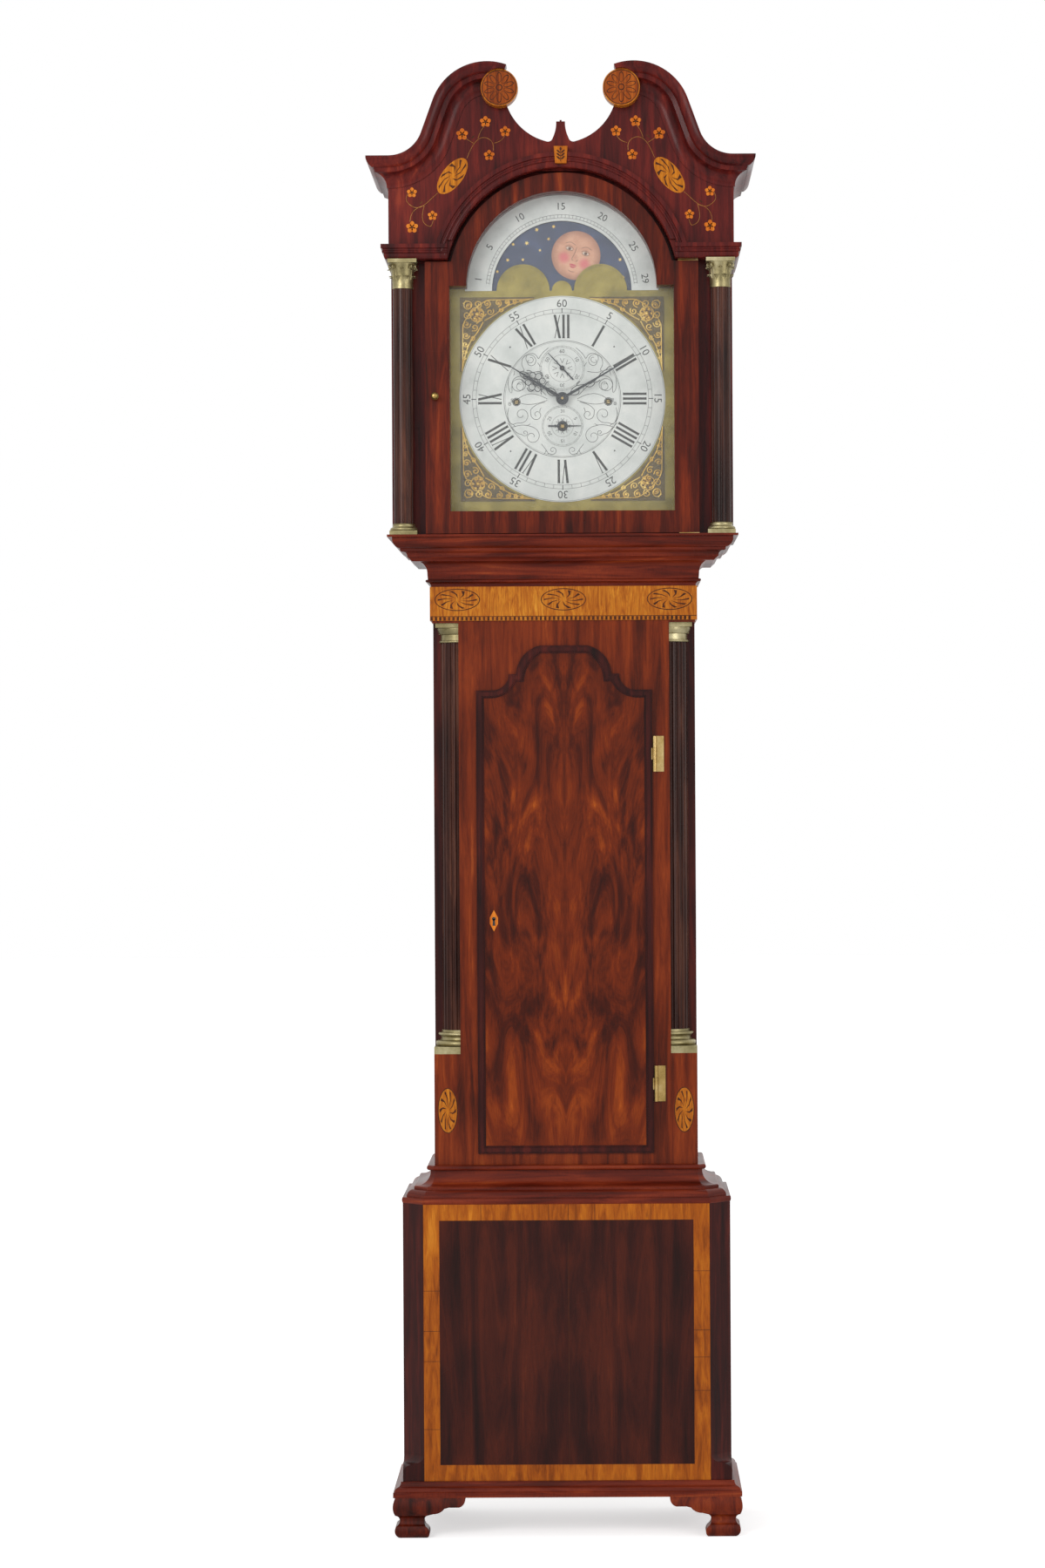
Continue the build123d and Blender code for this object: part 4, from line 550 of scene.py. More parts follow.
def ring(shape, cx, cz, radius, width, y, thick=0.12, count=96):
    """Engrave a round line as a thin flat ring."""
    inner = radius - width / 2
    loops = []
    for r in (inner, inner + width):
        spots = [
            (cx + r * cos(2 * pi * i / count), cz + r * sin(2 * pi * i / count)) for i in range(count)
        ]
        loops.append([shape.verts.new((x * mm, (y - thick) * mm, z * mm)) for x, z in spots])
    for i in range(count):
        j = (i + 1) % count
        shape.faces.new((loops[0][i], loops[0][j], loops[1][j], loops[1][i]))


def figures(shape, text, height, cx, cz, turn, y):
    """Cut numerals of a stated height, centred on a point and turned clockwise in degrees."""
    letters = bpy.data.curves.new("figures", "FONT")
    letters.body = text
    letters.size = height * mm * 1.38
    letters.extrude = 0.06 * mm
    letters.resolution_u = 3
    holder = bpy.data.objects.new("figures", letters)
    data = bpy.data.meshes.new_from_object(holder)
    xs = [v.co.x for v in data.vertices]
    ys = [v.co.y for v in data.vertices]
    data.transform(Matrix.Translation((-(min(xs) + max(xs)) / 2, -(min(ys) + max(ys)) / 2, 0)))
    data.transform(Matrix.Rotation(pi / 2, 4, "X"))
    data.transform(Matrix.Rotation(radians(turn), 4, "Y"))
    data.transform(Matrix.Translation((cx * mm, (y - 0.06) * mm, cz * mm)))
    shape.from_mesh(data)


# Plain sheet brass gone olive with age, under the rings.
plate_brass = metal(
    "aged_dial_brass", [(0.3, "#6E6224"), (0.5, "#8E7F36"), (0.7, "#A8984A")], 0.42, polish=0.75,
)
# Silvered brass: a soft, grey-white matt.
silvered = metal(
    "silvered_brass", [(0.3, "#BCC0BC"), (0.5, "#CDD0CC"), (0.7, "#DADBD6")], 0.5, polish=0.35,
)
finish_nodes(plate_brass, "dial_plate")
finish_nodes(silvered, "chapter_disc")
disc_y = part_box("chapter_disc")[0][1] / mm
dial_x, dial_z = 0.0, 1811.0
numeral_foot, numeral_height = 97.5, 37
minute_reach = 153.2
rivet_reach = 151 * 0.78
seconds_z, date_z = 1860.2, 1767.6
cuts = bmesh.new()
for radius, width in ((163.6, 0.5), (144, 0.5), (138, 0.5), (93.7, 0.7), (91.8, 0.35)):
    ring(cuts, dial_x, dial_z, radius, width, disc_y)
for minute in range(60):
    t = radians(minute * 6)
    wide = 1.3 if minute % 5 == 0 else 0.55
    reach = 145.6 if minute % 5 == 0 else 144
    ends = [(dial_x + r * sin(t), dial_z + r * cos(t)) for r in (138, reach)]
    plate(cuts, bar(*ends[0], *ends[1], wide), disc_y, 0.12)
for hour, text in enumerate("XII I II III IIII V VI VII VIII IX X XI".split()):
    t = radians(hour * 30)
    advance = {"I": 7.6, "V": 12.5, "X": 12.5}
    at = -sum(advance[c] for c in text) / 2
    for c in text:
        at += advance[c] / 2
        marks = {
            "I": [(0, 0, 0, 1, 3.8), (-2.4, 0, 2.4, 0, 0.8), (-2.4, 1, 2.4, 1, 0.8)],
            "V": [(0, 0, -4, 1, 3.9), (0, 0, 4, 1, 1.2), (-6, 1, -2, 1, 0.8), (2, 1, 6, 1, 0.8)],
            "X": [
                (4, 0, -4, 1, 3.9), (-4, 0, 4, 1, 1.2), (-5.6, 1, -2.2, 1, 0.8), (2.2, 0, 5.6, 0, 0.8),
            ],
        }[c]
        for u0, v0, u1, v1, wide in marks:
            spots = []
            for u, v in ((u0, v0), (u1, v1)):
                r = numeral_foot + numeral_height * v
                spots += [
                    dial_x + (at + u) * cos(t) + r * sin(t), dial_z - (at + u) * sin(t) + r * cos(t),
                ]
            plate(cuts, bar(*spots, wide), disc_y, 0.12)
        at += advance[c] / 2
    minute = str((hour * 5) or 60)
    figures(
        cuts, minute, 12.5, dial_x + minute_reach * sin(t), dial_z + minute_reach * cos(t), hour * 30,
        disc_y,
    )
for cz, radii, middle, texts, height in (
    (seconds_z, (35.7, 33.4, 21.7), 27.4, ("60", "10", "20", "30", "40", "50"), 6.0),
    (date_z, (32.7, 30.6, 17.4), 24.0, ("31", "5", "10", "15", "20", "25"), 5.6),
):
    for radius in radii:
        ring(cuts, 0, cz, radius, 0.4, disc_y)
    for k, text in enumerate(texts):
        t = radians(k * 60)
        figures(cuts, text, height, middle * sin(t), cz + middle * cos(t), k * 60, disc_y)
        for share in range(5):
            a = t + radians(share * 12)
            ends = [(r * sin(a), cz + r * cos(a)) for r in (radii[1], radii[0])]
            plate(cuts, bar(*ends[0], *ends[1], 0.35), disc_y, 0.12)
for k in range(4):
    t = radians(45 + 90 * k)
    plate(
        cuts, oval(rivet_reach * sin(t), dial_z + rivet_reach * cos(t), 1.3, 1.3, 0, 10), disc_y, 0.12,
    )
for side in (-1, 1):
    ring(cuts, side * 73.6, 1806.5, 6.2, 1.0, disc_y)
ring(cuts, 0, date_z, 8.0, 1.0, disc_y)
piece(cuts, "chapter_figures", wax, "case")

# Dial centre: leafy scrolls engraved between the two small dials, mirrored about the middle.
# Each stem ends in a curl, and small leaves spring from the bends.


def strokes(name, lines, width, y, matter, body):
    """Draw wires or engraved lines through points of (x, z) at depth y, or of (x, y, z)."""
    data = bpy.data.curves.new(name, "CURVE")
    data.dimensions = "3D"
    data.bevel_depth = width / 2 * mm
    data.bevel_resolution = 1
    data.use_fill_caps = True
    for line in lines:
        spline = data.splines.new("NURBS" if len(line) > 2 else "POLY")
        spline.points.add(len(line) - 1)
        for point, spot in zip(spline.points, line):
            x, depth, z = spot if len(spot) == 3 else (spot[0], y, spot[1])
            point.co = (x * mm, depth * mm, z * mm, 1)
        if len(line) > 2:
            spline.order_u = 3
            spline.use_endpoint_u = True
            spline.resolution_u = 3
    drawn = bpy.data.objects.new(name + "_curve", data)
    shape = bmesh.new()
    shape.from_mesh(bpy.data.meshes.new_from_object(drawn))
    return piece(shape, name, matter, body, smooth=True)


def curl(cx, cz, radius, start, hand, turns=1.3, inner=0.2, count=14):
    """Give a scroll's points, from its outside at an angle in degrees in to its eye."""
    points = []
    for i in range(count + 1):
        share = i / count
        angle = radians(start) + hand * 2 * pi * turns * share
        r = radius * (1 - (1 - inner) * share**0.8)
        points.append((cx + r * cos(angle), cz + r * sin(angle)))
    return points


engraved = []
for side in (-1, 1):
    for stem, eye in (
        ([(22, 82), (31, 75), (37, 66)], (50.5, 63.8, 12.5, 180, -1)),
        ([(40, 44), (54, 41), (66, 45)], (51, 60, 17, -60, 1)),
        ([(86, 34), (88, 18), (80, 6)], (68, 21, 14, 20, 1)),
        ([(26, 6), (40, 20), (54, 34)], (69, 22, 17, 130, -1)),
        ([(24, 0), (40, 9), (60, 8), (78, -4)], (84, -8, 3, 60, -1)),
        ([(24, -2), (40, -8), (60, -9), (74, -4)], (80, -1, 2.6, -60, 1)),
        ([(86, -14), (90, -28), (82, -42)], (66, -25, 15, -60, -1)),
        ([(28, -5), (42, -8), (52, -18)], (41, -25, 11, 30, -1)),
        ([(84, -46), (66, -40), (50, -44)], (49, -60, 15, 100, 1)),
        ([(34, -72), (27, -80), (22, -90)], (16, -82, 8.4, -30, -1)),
        ([(88, -38), (78, -50), (70, -56)], (60, -54, 6, -20, -1)),
    ):
        line = stem + curl(*eye)
        engraved.append([(side * x, dial_z + z) for x, z in line])
    for x, z, lean in (
        (36, 52, 60), (60, 40, 20), (78, 38, 100), (58, -42, 160), (76, -44, 40), (30, -88, 120),
        (34, 14, 80), (34, -14, -70),
    ):
        t = radians(lean)
        tips = [(x, z), (x + 3 * cos(t + 0.5), z + 3 * sin(t + 0.5)), (x + 7 * cos(t), z + 7 * sin(t))]
        engraved.append([(side * a, dial_z + b) for a, b in tips])
for cz, reach in ((seconds_z, 16), (date_z, 13)):
    for k in range(8):
        t = radians(k * 45)
        for lean in (-0.2, 0.2):
            spots = [
                (8.5 * sin(t), cz + 8.5 * cos(t)), (reach * sin(t + lean), cz + reach * cos(t + lean)),
            ]
            engraved.append(spots)
strokes("dial_centre_scrolls", engraved, 0.8, disc_y, wax, "case")

# Lunar ring: silvered brass round the arch, with the days of the moon's age and a tick ring.
# It is engraved and waxed like the chapter disc; fine arcs shade the two brass humps below it.


def sweep(shape, cx, cz, radius, width, y, start, stop, count=60):
    """Engrave an arc as short flat strokes; angles are in degrees from the right."""
    for i in range(count):
        a, b = (radians(start + (stop - start) * k / count) for k in (i, i + 1))
        spots = (cx + radius * cos(a), cz + radius * sin(a), cx + radius * cos(b), cz + radius * sin(b))
        plate(shape, bar(*spots, width), y, 0.12)


finish_nodes(silvered, "lunar_ring")
ring_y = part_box("lunar_ring")[0][1] / mm
moon_z = 1984.6
days = bmesh.new()
for radius in (153.6, 121.5, 116.5):
    sweep(days, 0, moon_z, radius, 0.5, ring_y, 5, 175)
for day in range(59):
    t = radians(174 - day * 2.9)
    ends = [(r * cos(t), moon_z + r * sin(t)) for r in (116.5, 121.5)]
    plate(days, bar(*ends[0], *ends[1], 0.5), ring_y, 0.12)
for day in (1, 5, 10, 15, 20, 25, 29):
    angle = 172 - (day - 1) * 5.86
    t = radians(angle)
    figures(days, str(day), 11.5, 135 * cos(t), moon_z + 135 * sin(t), 90 - angle, ring_y)
piece(days, "lunar_figures", wax, "case")
hump_lines = bmesh.new()
plate_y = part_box("dial_plate")[0][1] / mm
for side in (-1, 1):
    for radius in (40.5, 38.5):
        sweep(hump_lines, side * 62, moon_z, radius, 0.35, plate_y, 30, 150, 30)
piece(hump_lines, "hump_lines", wax, "case")

# Spandrels: gilt castings of scrolls and flowers in the four corners of the dial.
# The plate under them is matted brass, painted dark as the shade in the gaps of the openwork,
# and the bosses stand up to 4.4 mm proud of it.
# The gilt is bright yellow with darker hollows.
cast_brass = metal(
    "cast_gilt_brass", [(0.3, "#9C7A26"), (0.5, "#C8A040"), (0.7, "#EACE78")], 0.34, polish=0.85,
)
opening = 162
spandrel_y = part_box("spandrels")[0][1] / mm
# Punched ground, painted dark as the shade between the scrolls: it makes the gilt relief stand out.
matted_shaded_brass = metal(
    "matted_and_shaded_spandrel_ground", [(0.3, "#40330F"), (0.5, "#5C4A1C"), (0.7, "#75602A")], 0.55, 900, 0.6,
)
finish_nodes(matted_shaded_brass, "spandrels")
casting, bosses = [], bmesh.new()
for side_x in (-1, 1):
    for side_z in (-1, 1):
        corner = []
        for u, v, radius, start, hand, turns in (
            (12, 12, 9, 200, 1, 1.2), (27, 10, 7.5, 90, -1, 1.4), (42, 9, 7.2, 100, -1, 1.5),
            (47, 22, 6.5, -40, 1, 1.3),
            (60, 8, 6.4, 90, -1, 1.5), (64, 19, 4.6, -60, 1, 1.2), (74, 7, 5.2, 90, -1, 1.4),
            (86, 6, 4.2, 100, -1, 1.3),
            (96, 5, 3.2, 90, -1, 1.2), (34, 24, 7, 10, 1, 1.4),
        ):
            corner.append(curl(u, v, radius, start, hand, turns))
            corner.append([(b, a) for a, b in curl(u, v, radius, start, hand, turns)])
        corner.append(curl(26, 26, 12.5, 45, 1, 1.05, 0.85))
        for stem in (
            [(19, 20), (38, 3), (52, 3), (70, 2.6), (104, 2.6), (117, 1.5)],
            [(38, 36), (54, 28), (70, 14), (92, 6), (112, 2)],
        ):
            corner.append(stem)
            corner.append([(b, a) for a, b in stem])
        for line in corner:
            casting.append([(side_x * (opening - a), dial_z + side_z * (opening - b)) for a, b in line])
        for a, b, r in (
            (26, 26, 4.2), (42, 9, 2), (9, 42, 2), (60, 8, 1.8), (8, 60, 1.8), (12, 12, 2.4),
            (74, 7, 1.5), (7, 74, 1.5),
        ):
            spot = Matrix.Translation(
                (
                    side_x * (opening - a) * mm, (spandrel_y - 0.2) * mm,
                    (dial_z + side_z * (opening - b)) * mm,
                )
            )
            bmesh.ops.create_uvsphere(bosses, u_segments=12, v_segments=8, radius=r * mm, matrix=spot)
        for k in range(6):
            t = radians(k * 60)
            a, b = 26 + 8 * cos(t), 26 + 8 * sin(t)
            spot = Matrix.Translation(
                (
                    side_x * (opening - a) * mm, (spandrel_y - 0.2) * mm,
                    (dial_z + side_z * (opening - b)) * mm,
                )
            )
            bmesh.ops.create_uvsphere(bosses, u_segments=12, v_segments=8, radius=3.1 * mm, matrix=spot)
strokes("spandrel_scrolls", casting, 2.5, spandrel_y - 0.4, cast_brass, "case")
piece(bosses, "spandrel_bosses", cast_brass, "case", True)

# Moon disc: a painted night sky with gold stars and two moon faces, of which one shows.
# The paint stands 0.1 to 0.5 mm proud of the iron disc and turns with it, and its sky is an
# uneven night blue.
sky_paint = metal(
    "night_sky_paint", [(0.3, "#1E2745"), (0.5, "#2A3556"), (0.7, "#3C4A70")], 0.5, 60, 0.0,
)
finish_nodes(sky_paint, "moon_disc")
disc_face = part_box("moon_disc")[0][1] / mm
moon_x, moon_up, moon_radius = 23.0, 2041.3, 39.3
face_lean = 0.32
# Gold paint: a soft yellow shine.
gold_paint = metal(
    "gold_paint", [(0.3, "#C79A3C"), (0.5, "#E2BE5E"), (0.7, "#F2DC92")], 0.4, polish=0.3,
)
stars = bmesh.new()
for angle, reach, size in (
    (12, 100, 4), (26, 84, 3), (28, 106, 3.4), (97, 104, 3.4), (104, 86, 3), (112, 106, 3.6),
    (118, 74, 2.6), (126, 95, 4), (136, 108, 3), (141, 80, 3), (150, 100, 3.4), (158, 70, 2.4),
    (163, 108, 3), (170, 88, 3), (40, 66, 2.6), (98, 62, 2.6), (192, 96, 3.4), (206, 84, 3),
    (212, 104, 3.4), (277, 104, 3.4), (290, 86, 3), (300, 104, 3.4), (316, 92, 3), (336, 100, 3.4),
):
    t = radians(angle)
    cx, cz = reach * cos(t), moon_z + reach * sin(t)
    points = []
    for tip in range(12):
        r = size if tip % 2 == 0 else size * 0.42
        points.append((cx + r * cos(radians(tip * 30 + 15)), cz + r * sin(radians(tip * 30 + 15))))
    plate(stars, points, disc_face, 0.1)
piece(stars, "painted_stars", gold_paint, "moon")


def moon_paint(name, cx, cz, turn):
    """Mix the face paint: warm flesh, darker to its edge, with two rosy cheeks."""
    made, tree, shader = new_tree(name)
    spot = add_node(tree, "ShaderNodeTexCoord").outputs["Object"]
    cloud = add_node(tree, "ShaderNodeTexNoise", {"Vector": spot, "Scale": 60.0, "Detail": 3})
    flesh = [(0.3, "#C78E70"), (0.7, "#DDA98A")]
    colour_so_far = add_node(
        tree, "ShaderNodeValToRGB", {"Fac": cloud.outputs[0]}, flesh,
    ).outputs["Color"]
    for (u, v), radius, colour, strength in (
        ((0, 0), moon_radius, "#8E5A44", -1), ((-17, -9), 13, "#D45C68", 0.8),
        ((17, -9), 13, "#D45C68", 0.8),
        ((0, -3), 6, "#B9705A", 0.35), ((-13.5, 9), 9, "#A8705A", 0.4), ((13.5, 9), 9, "#A8705A", 0.4),
    ):
        x = cx + u * cos(turn) + v * sin(turn)
        z = cz - u * sin(turn) + v * cos(turn)
        gap = add_node(
            tree, "ShaderNodeVectorMath", {0: spot, 1: (x * mm, disc_face * mm, z * mm)},
            operation="DISTANCE",
        )
        if strength < 0:
            share = {"From Min": 0.66 * radius * mm, "From Max": 1.05 * radius * mm, "To Max": 0.8}
        else:
            share = {"From Min": radius * mm, "From Max": 0.2 * radius * mm, "To Max": strength}
        factor = add_node(
            tree, "ShaderNodeMapRange", {"Value": gap.outputs["Value"], **share},
            interpolation_type="SMOOTHSTEP",
        )
        colour_so_far = add_node(
            tree, "ShaderNodeMix",
            {"Factor": factor.outputs[0], "A": colour_so_far, "B": linear(colour)}, data_type="RGBA",
        ).outputs["Result"]
    tree.links.new(colour_so_far, shader.inputs["Base Color"])
    shader.inputs["Roughness"].default_value = 0.45
    return made


# Brush lines in brown, rose and off-white paint, half matt.
brown_line = metal(
    "brown_face_line", [(0.3, "#4A2A1E"), (0.5, "#5E382A"), (0.7, "#704636")], 0.5, polish=0.0,
)
lip_paint = metal("lip_paint", [(0.3, "#B4424A"), (0.5, "#C4525A"), (0.7, "#D0666A")], 0.45, polish=0.0)
eye_white = metal(
    "eye_white_paint", [(0.3, "#B9A593"), (0.5, "#C6B4A2"), (0.7, "#D2C2B2")], 0.45, polish=0.0,
)
features, lips, whites, brows = bmesh.new(), bmesh.new(), bmesh.new(), []
for sign in (1, -1):
    cx, cz = sign * moon_x, moon_z + sign * (moon_up - moon_z)
    turn = face_lean if sign == 1 else face_lean + pi

    def on_face(u, v):
        """Place a point of the face, u across and v up from its middle."""
        return (cx + u * cos(turn) + v * sin(turn), cz - u * sin(turn) + v * cos(turn))

    face = bmesh.new()
    plate(face, oval(cx, cz, moon_radius, moon_radius, 0, 64), disc_face, 0.15)
    label = "showing" if sign == 1 else "hidden"
    piece(
        face, "moon_face_" + label, moon_paint("moon_flesh_" + label, cx, cz, turn), "moon",
    )
    y = disc_face - 0.15
    for eye in (-13.5, 13.5):
        plate(whites, [on_face(eye + a, 7.5 + b) for a, b in oval(0, 0, 5, 2.5, 0, 20)], y, 0.04)
        plate(
            features, [on_face(eye + a, 7.5 + b) for a, b in oval(0.4, 0, 2.4, 2.4, 0, 16)], y - 0.04,
            0.04,
        )
        brows.append(
            [on_face(eye + a, b) for a, b in ((-7, 8.5), (-4, 11), (0, 11.7), (4, 11), (7, 8.2))]
        )
        brows.append([on_face(eye + a, b) for a, b in ((-8, 14), (-4, 17.5), (2, 18), (8, 15.5))])
        brows.append([on_face(eye + a, b) for a, b in ((-6, 6.5), (-2, 4.2), (3, 4.2), (6.5, 6.8))])
    brows.append([on_face(a, b) for a, b in ((-3, 13), (-2.6, 4), (-4.6, -5), (-5.2, -8), (-2, -9.5))])
    brows.append([on_face(a, b) for a, b in ((2, -9.5), (5, -8), (4.4, -5.4))])
    brows.append([on_face(a, b) for a, b in ((-5, -26), (0, -28), (5, -26))])
    upper = [
        (-9.5, -15.6), (-4, -17.4), (0, -17.9), (4, -17.4), (9.5, -15.6), (4, -13.6), (1.6, -13),
        (0, -13.8), (-1.6, -13), (-4, -13.6),
    ]
    lower = [
        (-8, -17), (-4, -18.4), (0, -18.9), (4, -18.4), (8, -17), (4, -21.6), (0, -22.6), (-4, -21.6),
    ]
    for line in (upper, lower):
        plate(lips, [on_face(0.72 * a, -17.5 + 0.72 * (b + 17.5)) for a, b in line], y, 0.05)
piece(features, "moon_eyes", brown_line, "moon")
piece(whites, "moon_eye_whites", eye_white, "moon")
piece(lips, "moon_lips", lip_paint, "moon")
strokes("moon_lines", brows, 0.75, disc_face - 0.1, brown_line, "moon")

# Hands: blued steel, pierced and filed; the hour hand widens to a knot of small rings and leaves,
# and the minute hand winds like a stem with curls near its root.
finish_nodes(blued_steel, "minute_hand", "hour_hand", "seconds_hand", "date_hand")
hour_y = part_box("hour_hand")[0][1] / mm + 0.5
knot = []
hour_turn = radians(302)


def along(turn, out, across):
    """Place a point on a hand: out from the centre and across to its right."""
    return (out * sin(turn) + across * cos(turn), dial_z + out * cos(turn) - across * sin(turn))


for out, across, radius in (
    (42, 7, 5), (42, -7, 5), (51, 10, 5.2), (51, -10, 5.2), (51, 0, 4.2), (60, 6.6, 4.8),
    (60, -6.6, 4.8), (68, 0, 4.2),
):
    knot.append(
        [
            along(
                hour_turn, out + radius * cos(radians(k * 30)), across + radius * sin(radians(k * 30)),
            )
            for k in range(13)
        ]
    )
for sign in (-1, 1):
    for points in (
        [(12, 2), (18, 6), (25, 5), (30, 1)], [(34, 1), (37, 9), (32, 12)],
        [(46, 13), (48, 17), (54, 18), (57, 15)],
        [(62, 10), (68, 12), (72, 8)], [(66, 5), (74, 6), (80, 1)],
        [(36, 1), (44, 2), (52, 5), (60, 2), (70, 1)],
    ):
        knot.append([along(hour_turn, out, sign * across) for out, across in points])
strokes("hour_hand_knot", knot, 1.3, hour_y, blued_steel, "hour")
minute_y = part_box("minute_hand")[0][1] / mm + 0.5
minute_turn = radians(60)
winding = [
    [(14, 0), (20, -5), (28, -6.5), (38, -3), (48, 1), (56, 3.5), (66, 0)],
    [(14, 2), (20, 6), (26, 7), (30, 3), (27, 0), (23, 2)],
    [(40, -2), (44, 6), (52, 8), (58, 5), (55, 1), (50, 3)],
    [(66, 0), (74, -4), (84, -4.6), (94, 0)],
    [(56, 3), (62, 7), (67, 5)],
    [(84, -4), (88, -7), (92, -5)],
    [(30, -6), (33, -10), (38, -9)],
]
lines = [[along(minute_turn, out, across) for out, across in line] for line in winding]
strokes("minute_hand_curls", lines, 1.3, minute_y, blued_steel, "minute")

# Hood: dark red mahogany on a moulded rail, with a swan-neck pediment and a glazed door.
# It slides off forwards; the door turns on two brass pivots and is pulled by a turned knob.
# The hood's boards are a deeper, cooler red than the trunk's.
hood_wood = wood("hood_mahogany", [(0, "#2B0A0A"), (0.45, "#521513"), (0.8, "#6E2119"), (1, "#8A3320")])
finish_nodes(level_wood, "hood_base_rail")
finish_nodes(hood_wood, "hood_mask", "hood_carcase", "tympanum", "arch_rail", "swan_necks")
finish_nodes(mahogany, "hood_door")
finish_nodes(turned_brass, "hood_door_knob", "hood_door_pivots")
finish_nodes(column_wood, "hood_columns")
finish_nodes(aged_brass, "hood_column_brasses")
# Window glass: almost clear, so it shows mostly by its reflections.
glass, _, glass_shader = new_tree("window_glass")
glass_shader.inputs["Base Color"].default_value = linear("#F4F8F6")
glass_shader.inputs["Roughness"].default_value = 0.02
glass_shader.inputs["IOR"].default_value = 1.45
glass_shader.inputs["Alpha"].default_value = 0.06
finish_nodes(glass, "hood_door_glass")

# Hood capitals: two rows of eight cast leaves and a volute under each corner of the cap.
# They are pinned to the turned brass sleeve at the top of each column.
hood_leaves = bmesh.new()
volutes = []
for side in (-1, 1):
    axis = (side * 252.5, -95.5)
    for step in range(8):
        acanthus(hood_leaves, axis, step * 45 + 22.5, 1984, 18, 15.2, 7.0, 5.6)
        acanthus(hood_leaves, axis, step * 45, 1992, 22, 15.6, 8.0, 5.6)
    for step in range(4):
        turn = radians(step * 90 + 45)
        for lean in (-0.16, 0.16):
            scroll = curl(23.0, 2015.5, 5.2, 200, -1, 1.6, 0.16, 16)
            scroll = [(16.5, 1996), (17.5, 2006)] + scroll
            volutes.append(
                [
                    (axis[0] + r * cos(turn + lean), axis[1] + r * sin(turn + lean), z)
                    for r, z in scroll
                ]
            )
thicken(piece(hood_leaves, "hood_capital_leaves", aged_brass, "hood", True), 0.9)
strokes("hood_capital_volutes", volutes, 1.8, 0, aged_brass, "hood")

# Tympanum inlay: a vine with flowers climbs from each lower corner, through a pointed-leaf oval.
# Everything is cut from thin veneers and let in flush, the same on both sides.


def blossom(petals, hearts, cx, cz, radius, y, count=5, turn=90):
    """Inlay a flower: round petals about a dark heart."""
    for k in range(count):
        angle = turn + k * 360 / count
        t = radians(angle)
        plate(
            petals,
            oval(
                cx + 0.56 * radius * cos(t), cz + 0.56 * radius * sin(t), 0.5 * radius, 0.4 * radius,
                angle, 12,
            ),
            y, 0.2,
        )
    plate(hearts, oval(cx, cz, 0.24 * radius, 0.24 * radius, 0, 10), y - 0.2, 0.12)


tympanum_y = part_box("tympanum")[0][1] / mm
petals, hearts, fan_light, fan_dark, stems = bmesh.new(), bmesh.new(), bmesh.new(), bmesh.new(), []
for side in (-1, 1):
    for x, z, radius in (
        (236.5, 2134.2, 7.8), (236.5, 2079.2, 9.2), (204.0, 2097.5, 7.4),
        (156.3, 2226.2, 9.2), (113.6, 2192.8, 8.2), (88.0, 2230.4, 8.2), (119.2, 2246.0, 8.6),
    ):
        blossom(petals, hearts, side * x, z, radius, tympanum_y)
    tilt = 90 + side * 38
    patera(fan_light, fan_dark, side * 172.2, 2160.1, 34, 16.4, tilt, 8, tympanum_y, 1.1)
    for line in (
        [(195.6, 2133.4), (204, 2126), (217, 2113.5), (228, 2110.5), (239, 2100), (240, 2088)],
        [(217, 2113.5), (228, 2108.3), (240, 2114), (248, 2124), (243, 2133)],
        [(217, 2113.5), (221, 2100), (219, 2086), (211, 2080.5), (205, 2080), (203, 2090)],
        [(149, 2188), (143, 2204), (131, 2219.8), (118, 2222), (105.3, 2212), (107, 2200)],
        [(105.3, 2212), (98, 2213.8), (90, 2220), (88.5, 2226)],
        [(131, 2219.8), (128, 2230), (122, 2238), (119, 2242)],
        [(138, 2212), (146, 2216), (153, 2222)],
    ):
        stems.append([(side * x, z) for x, z in line])
    plate(hearts, oval(side * 222, 2118, 3.4, 1.3, 90 + side * 50, 10), tympanum_y, 0.2)
    plate(hearts, oval(side * 139, 2222, 3.4, 1.3, 90 + side * 40, 10), tympanum_y, 0.2)
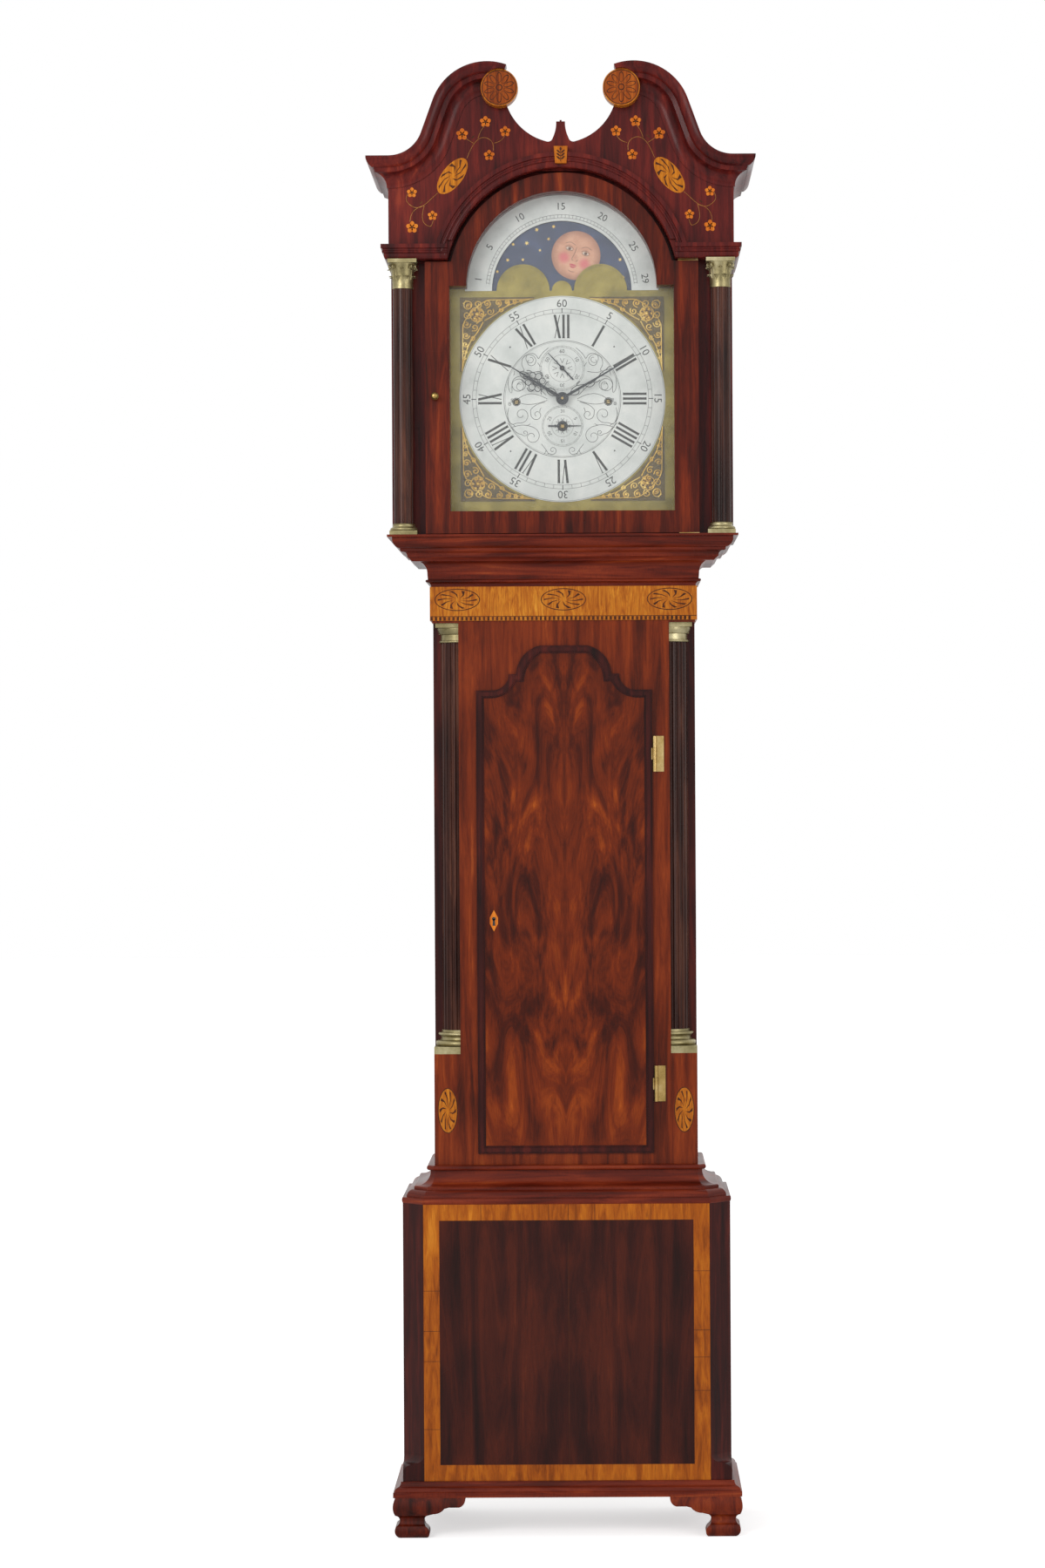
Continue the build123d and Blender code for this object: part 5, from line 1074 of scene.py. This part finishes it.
# Thin brown strips for the stems, and a shaded orange wood for the fans.
stem_wood = wood("stem_inlay", [(0, "#7A4A20"), (0.6, "#A06A34"), (1, "#BA8648")], across=160)
fan_wood = wood("shaded_fan_inlay", [(0, "#8A4A0C"), (0.5, "#C07014"), (1, "#D88A22")], across=160)
piece(petals, "vine_flowers", inlay_red, "hood")
piece(hearts, "flower_hearts", inlay_dark, "hood")
piece(fan_light, "hood_fan_light", fan_wood, "hood")
piece(fan_dark, "hood_fan_dark", inlay_dark, "hood")
strokes("vine_stems", stems, 1.1, tympanum_y, stem_wood, "hood")

# Rosettes: turned discs that stop the scrolls, each inlaid with a ring and a ten-petalled flower.
# The keystone carries a small sprig of leaves in the same woods.
finish_nodes(satinwood, "rosettes")
finish_nodes(banding_wood, "keystone")
rosette_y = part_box("rosettes")[0][1] / mm
rose_dark, rose_light = bmesh.new(), bmesh.new()
for side in (-1, 1):
    cx, cz = side * 96.6, 2296.3
    plate(rose_dark, oval(cx, cz, 27.6, 27.6, 0, 40), rosette_y, 0.15)
    plate(rose_light, oval(cx, cz, 26.2, 26.2, 0, 40), rosette_y - 0.15, 0.12)
    for k in range(10):
        t = radians(k * 36 + 18)
        plate(
            rose_dark, oval(cx + 16 * cos(t), cz + 16 * sin(t), 8.6, 3.9, k * 36 + 18, 16),
            rosette_y - 0.27, 0.12,
        )
        plate(
            rose_light, oval(cx + 15.4 * cos(t), cz + 15.4 * sin(t), 7.4, 2.8, k * 36 + 18, 16),
            rosette_y - 0.39, 0.12,
        )
    plate(rose_dark, oval(cx, cz, 5.4, 5.4, 0, 20), rosette_y - 0.27, 0.2)
    plate(rose_light, oval(cx, cz, 3.6, 3.6, 0, 16), rosette_y - 0.47, 0.15)
piece(rose_dark, "rosette_dark", inlay_dark, "hood")
# A redder veneer than the fans: deep orange-brown.
rosette_wood = wood("rosette_inlay", [(0, "#6E2A08"), (0.5, "#9A480F"), (1, "#BC661E")], across=160)
piece(rose_light, "rosette_light", rosette_wood, "hood")
keystone_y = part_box("keystone")[0][1] / mm
sprig = bmesh.new()
plate(sprig, bar(0, 2180, 0, 2201, 0.9), keystone_y, 0.2)
for k, z in enumerate((2184, 2189, 2194)):
    for side in (-1, 1):
        plate(sprig, oval(side * 3.6, z + 2, 3.8, 1.4, 90 - side * 48, 12), keystone_y, 0.2)
plate(sprig, oval(0, 2200, 1.6, 2.8, 0, 12), keystone_y - 0.2, 0.1)
piece(sprig, "keystone_sprig", inlay_dark, "hood")
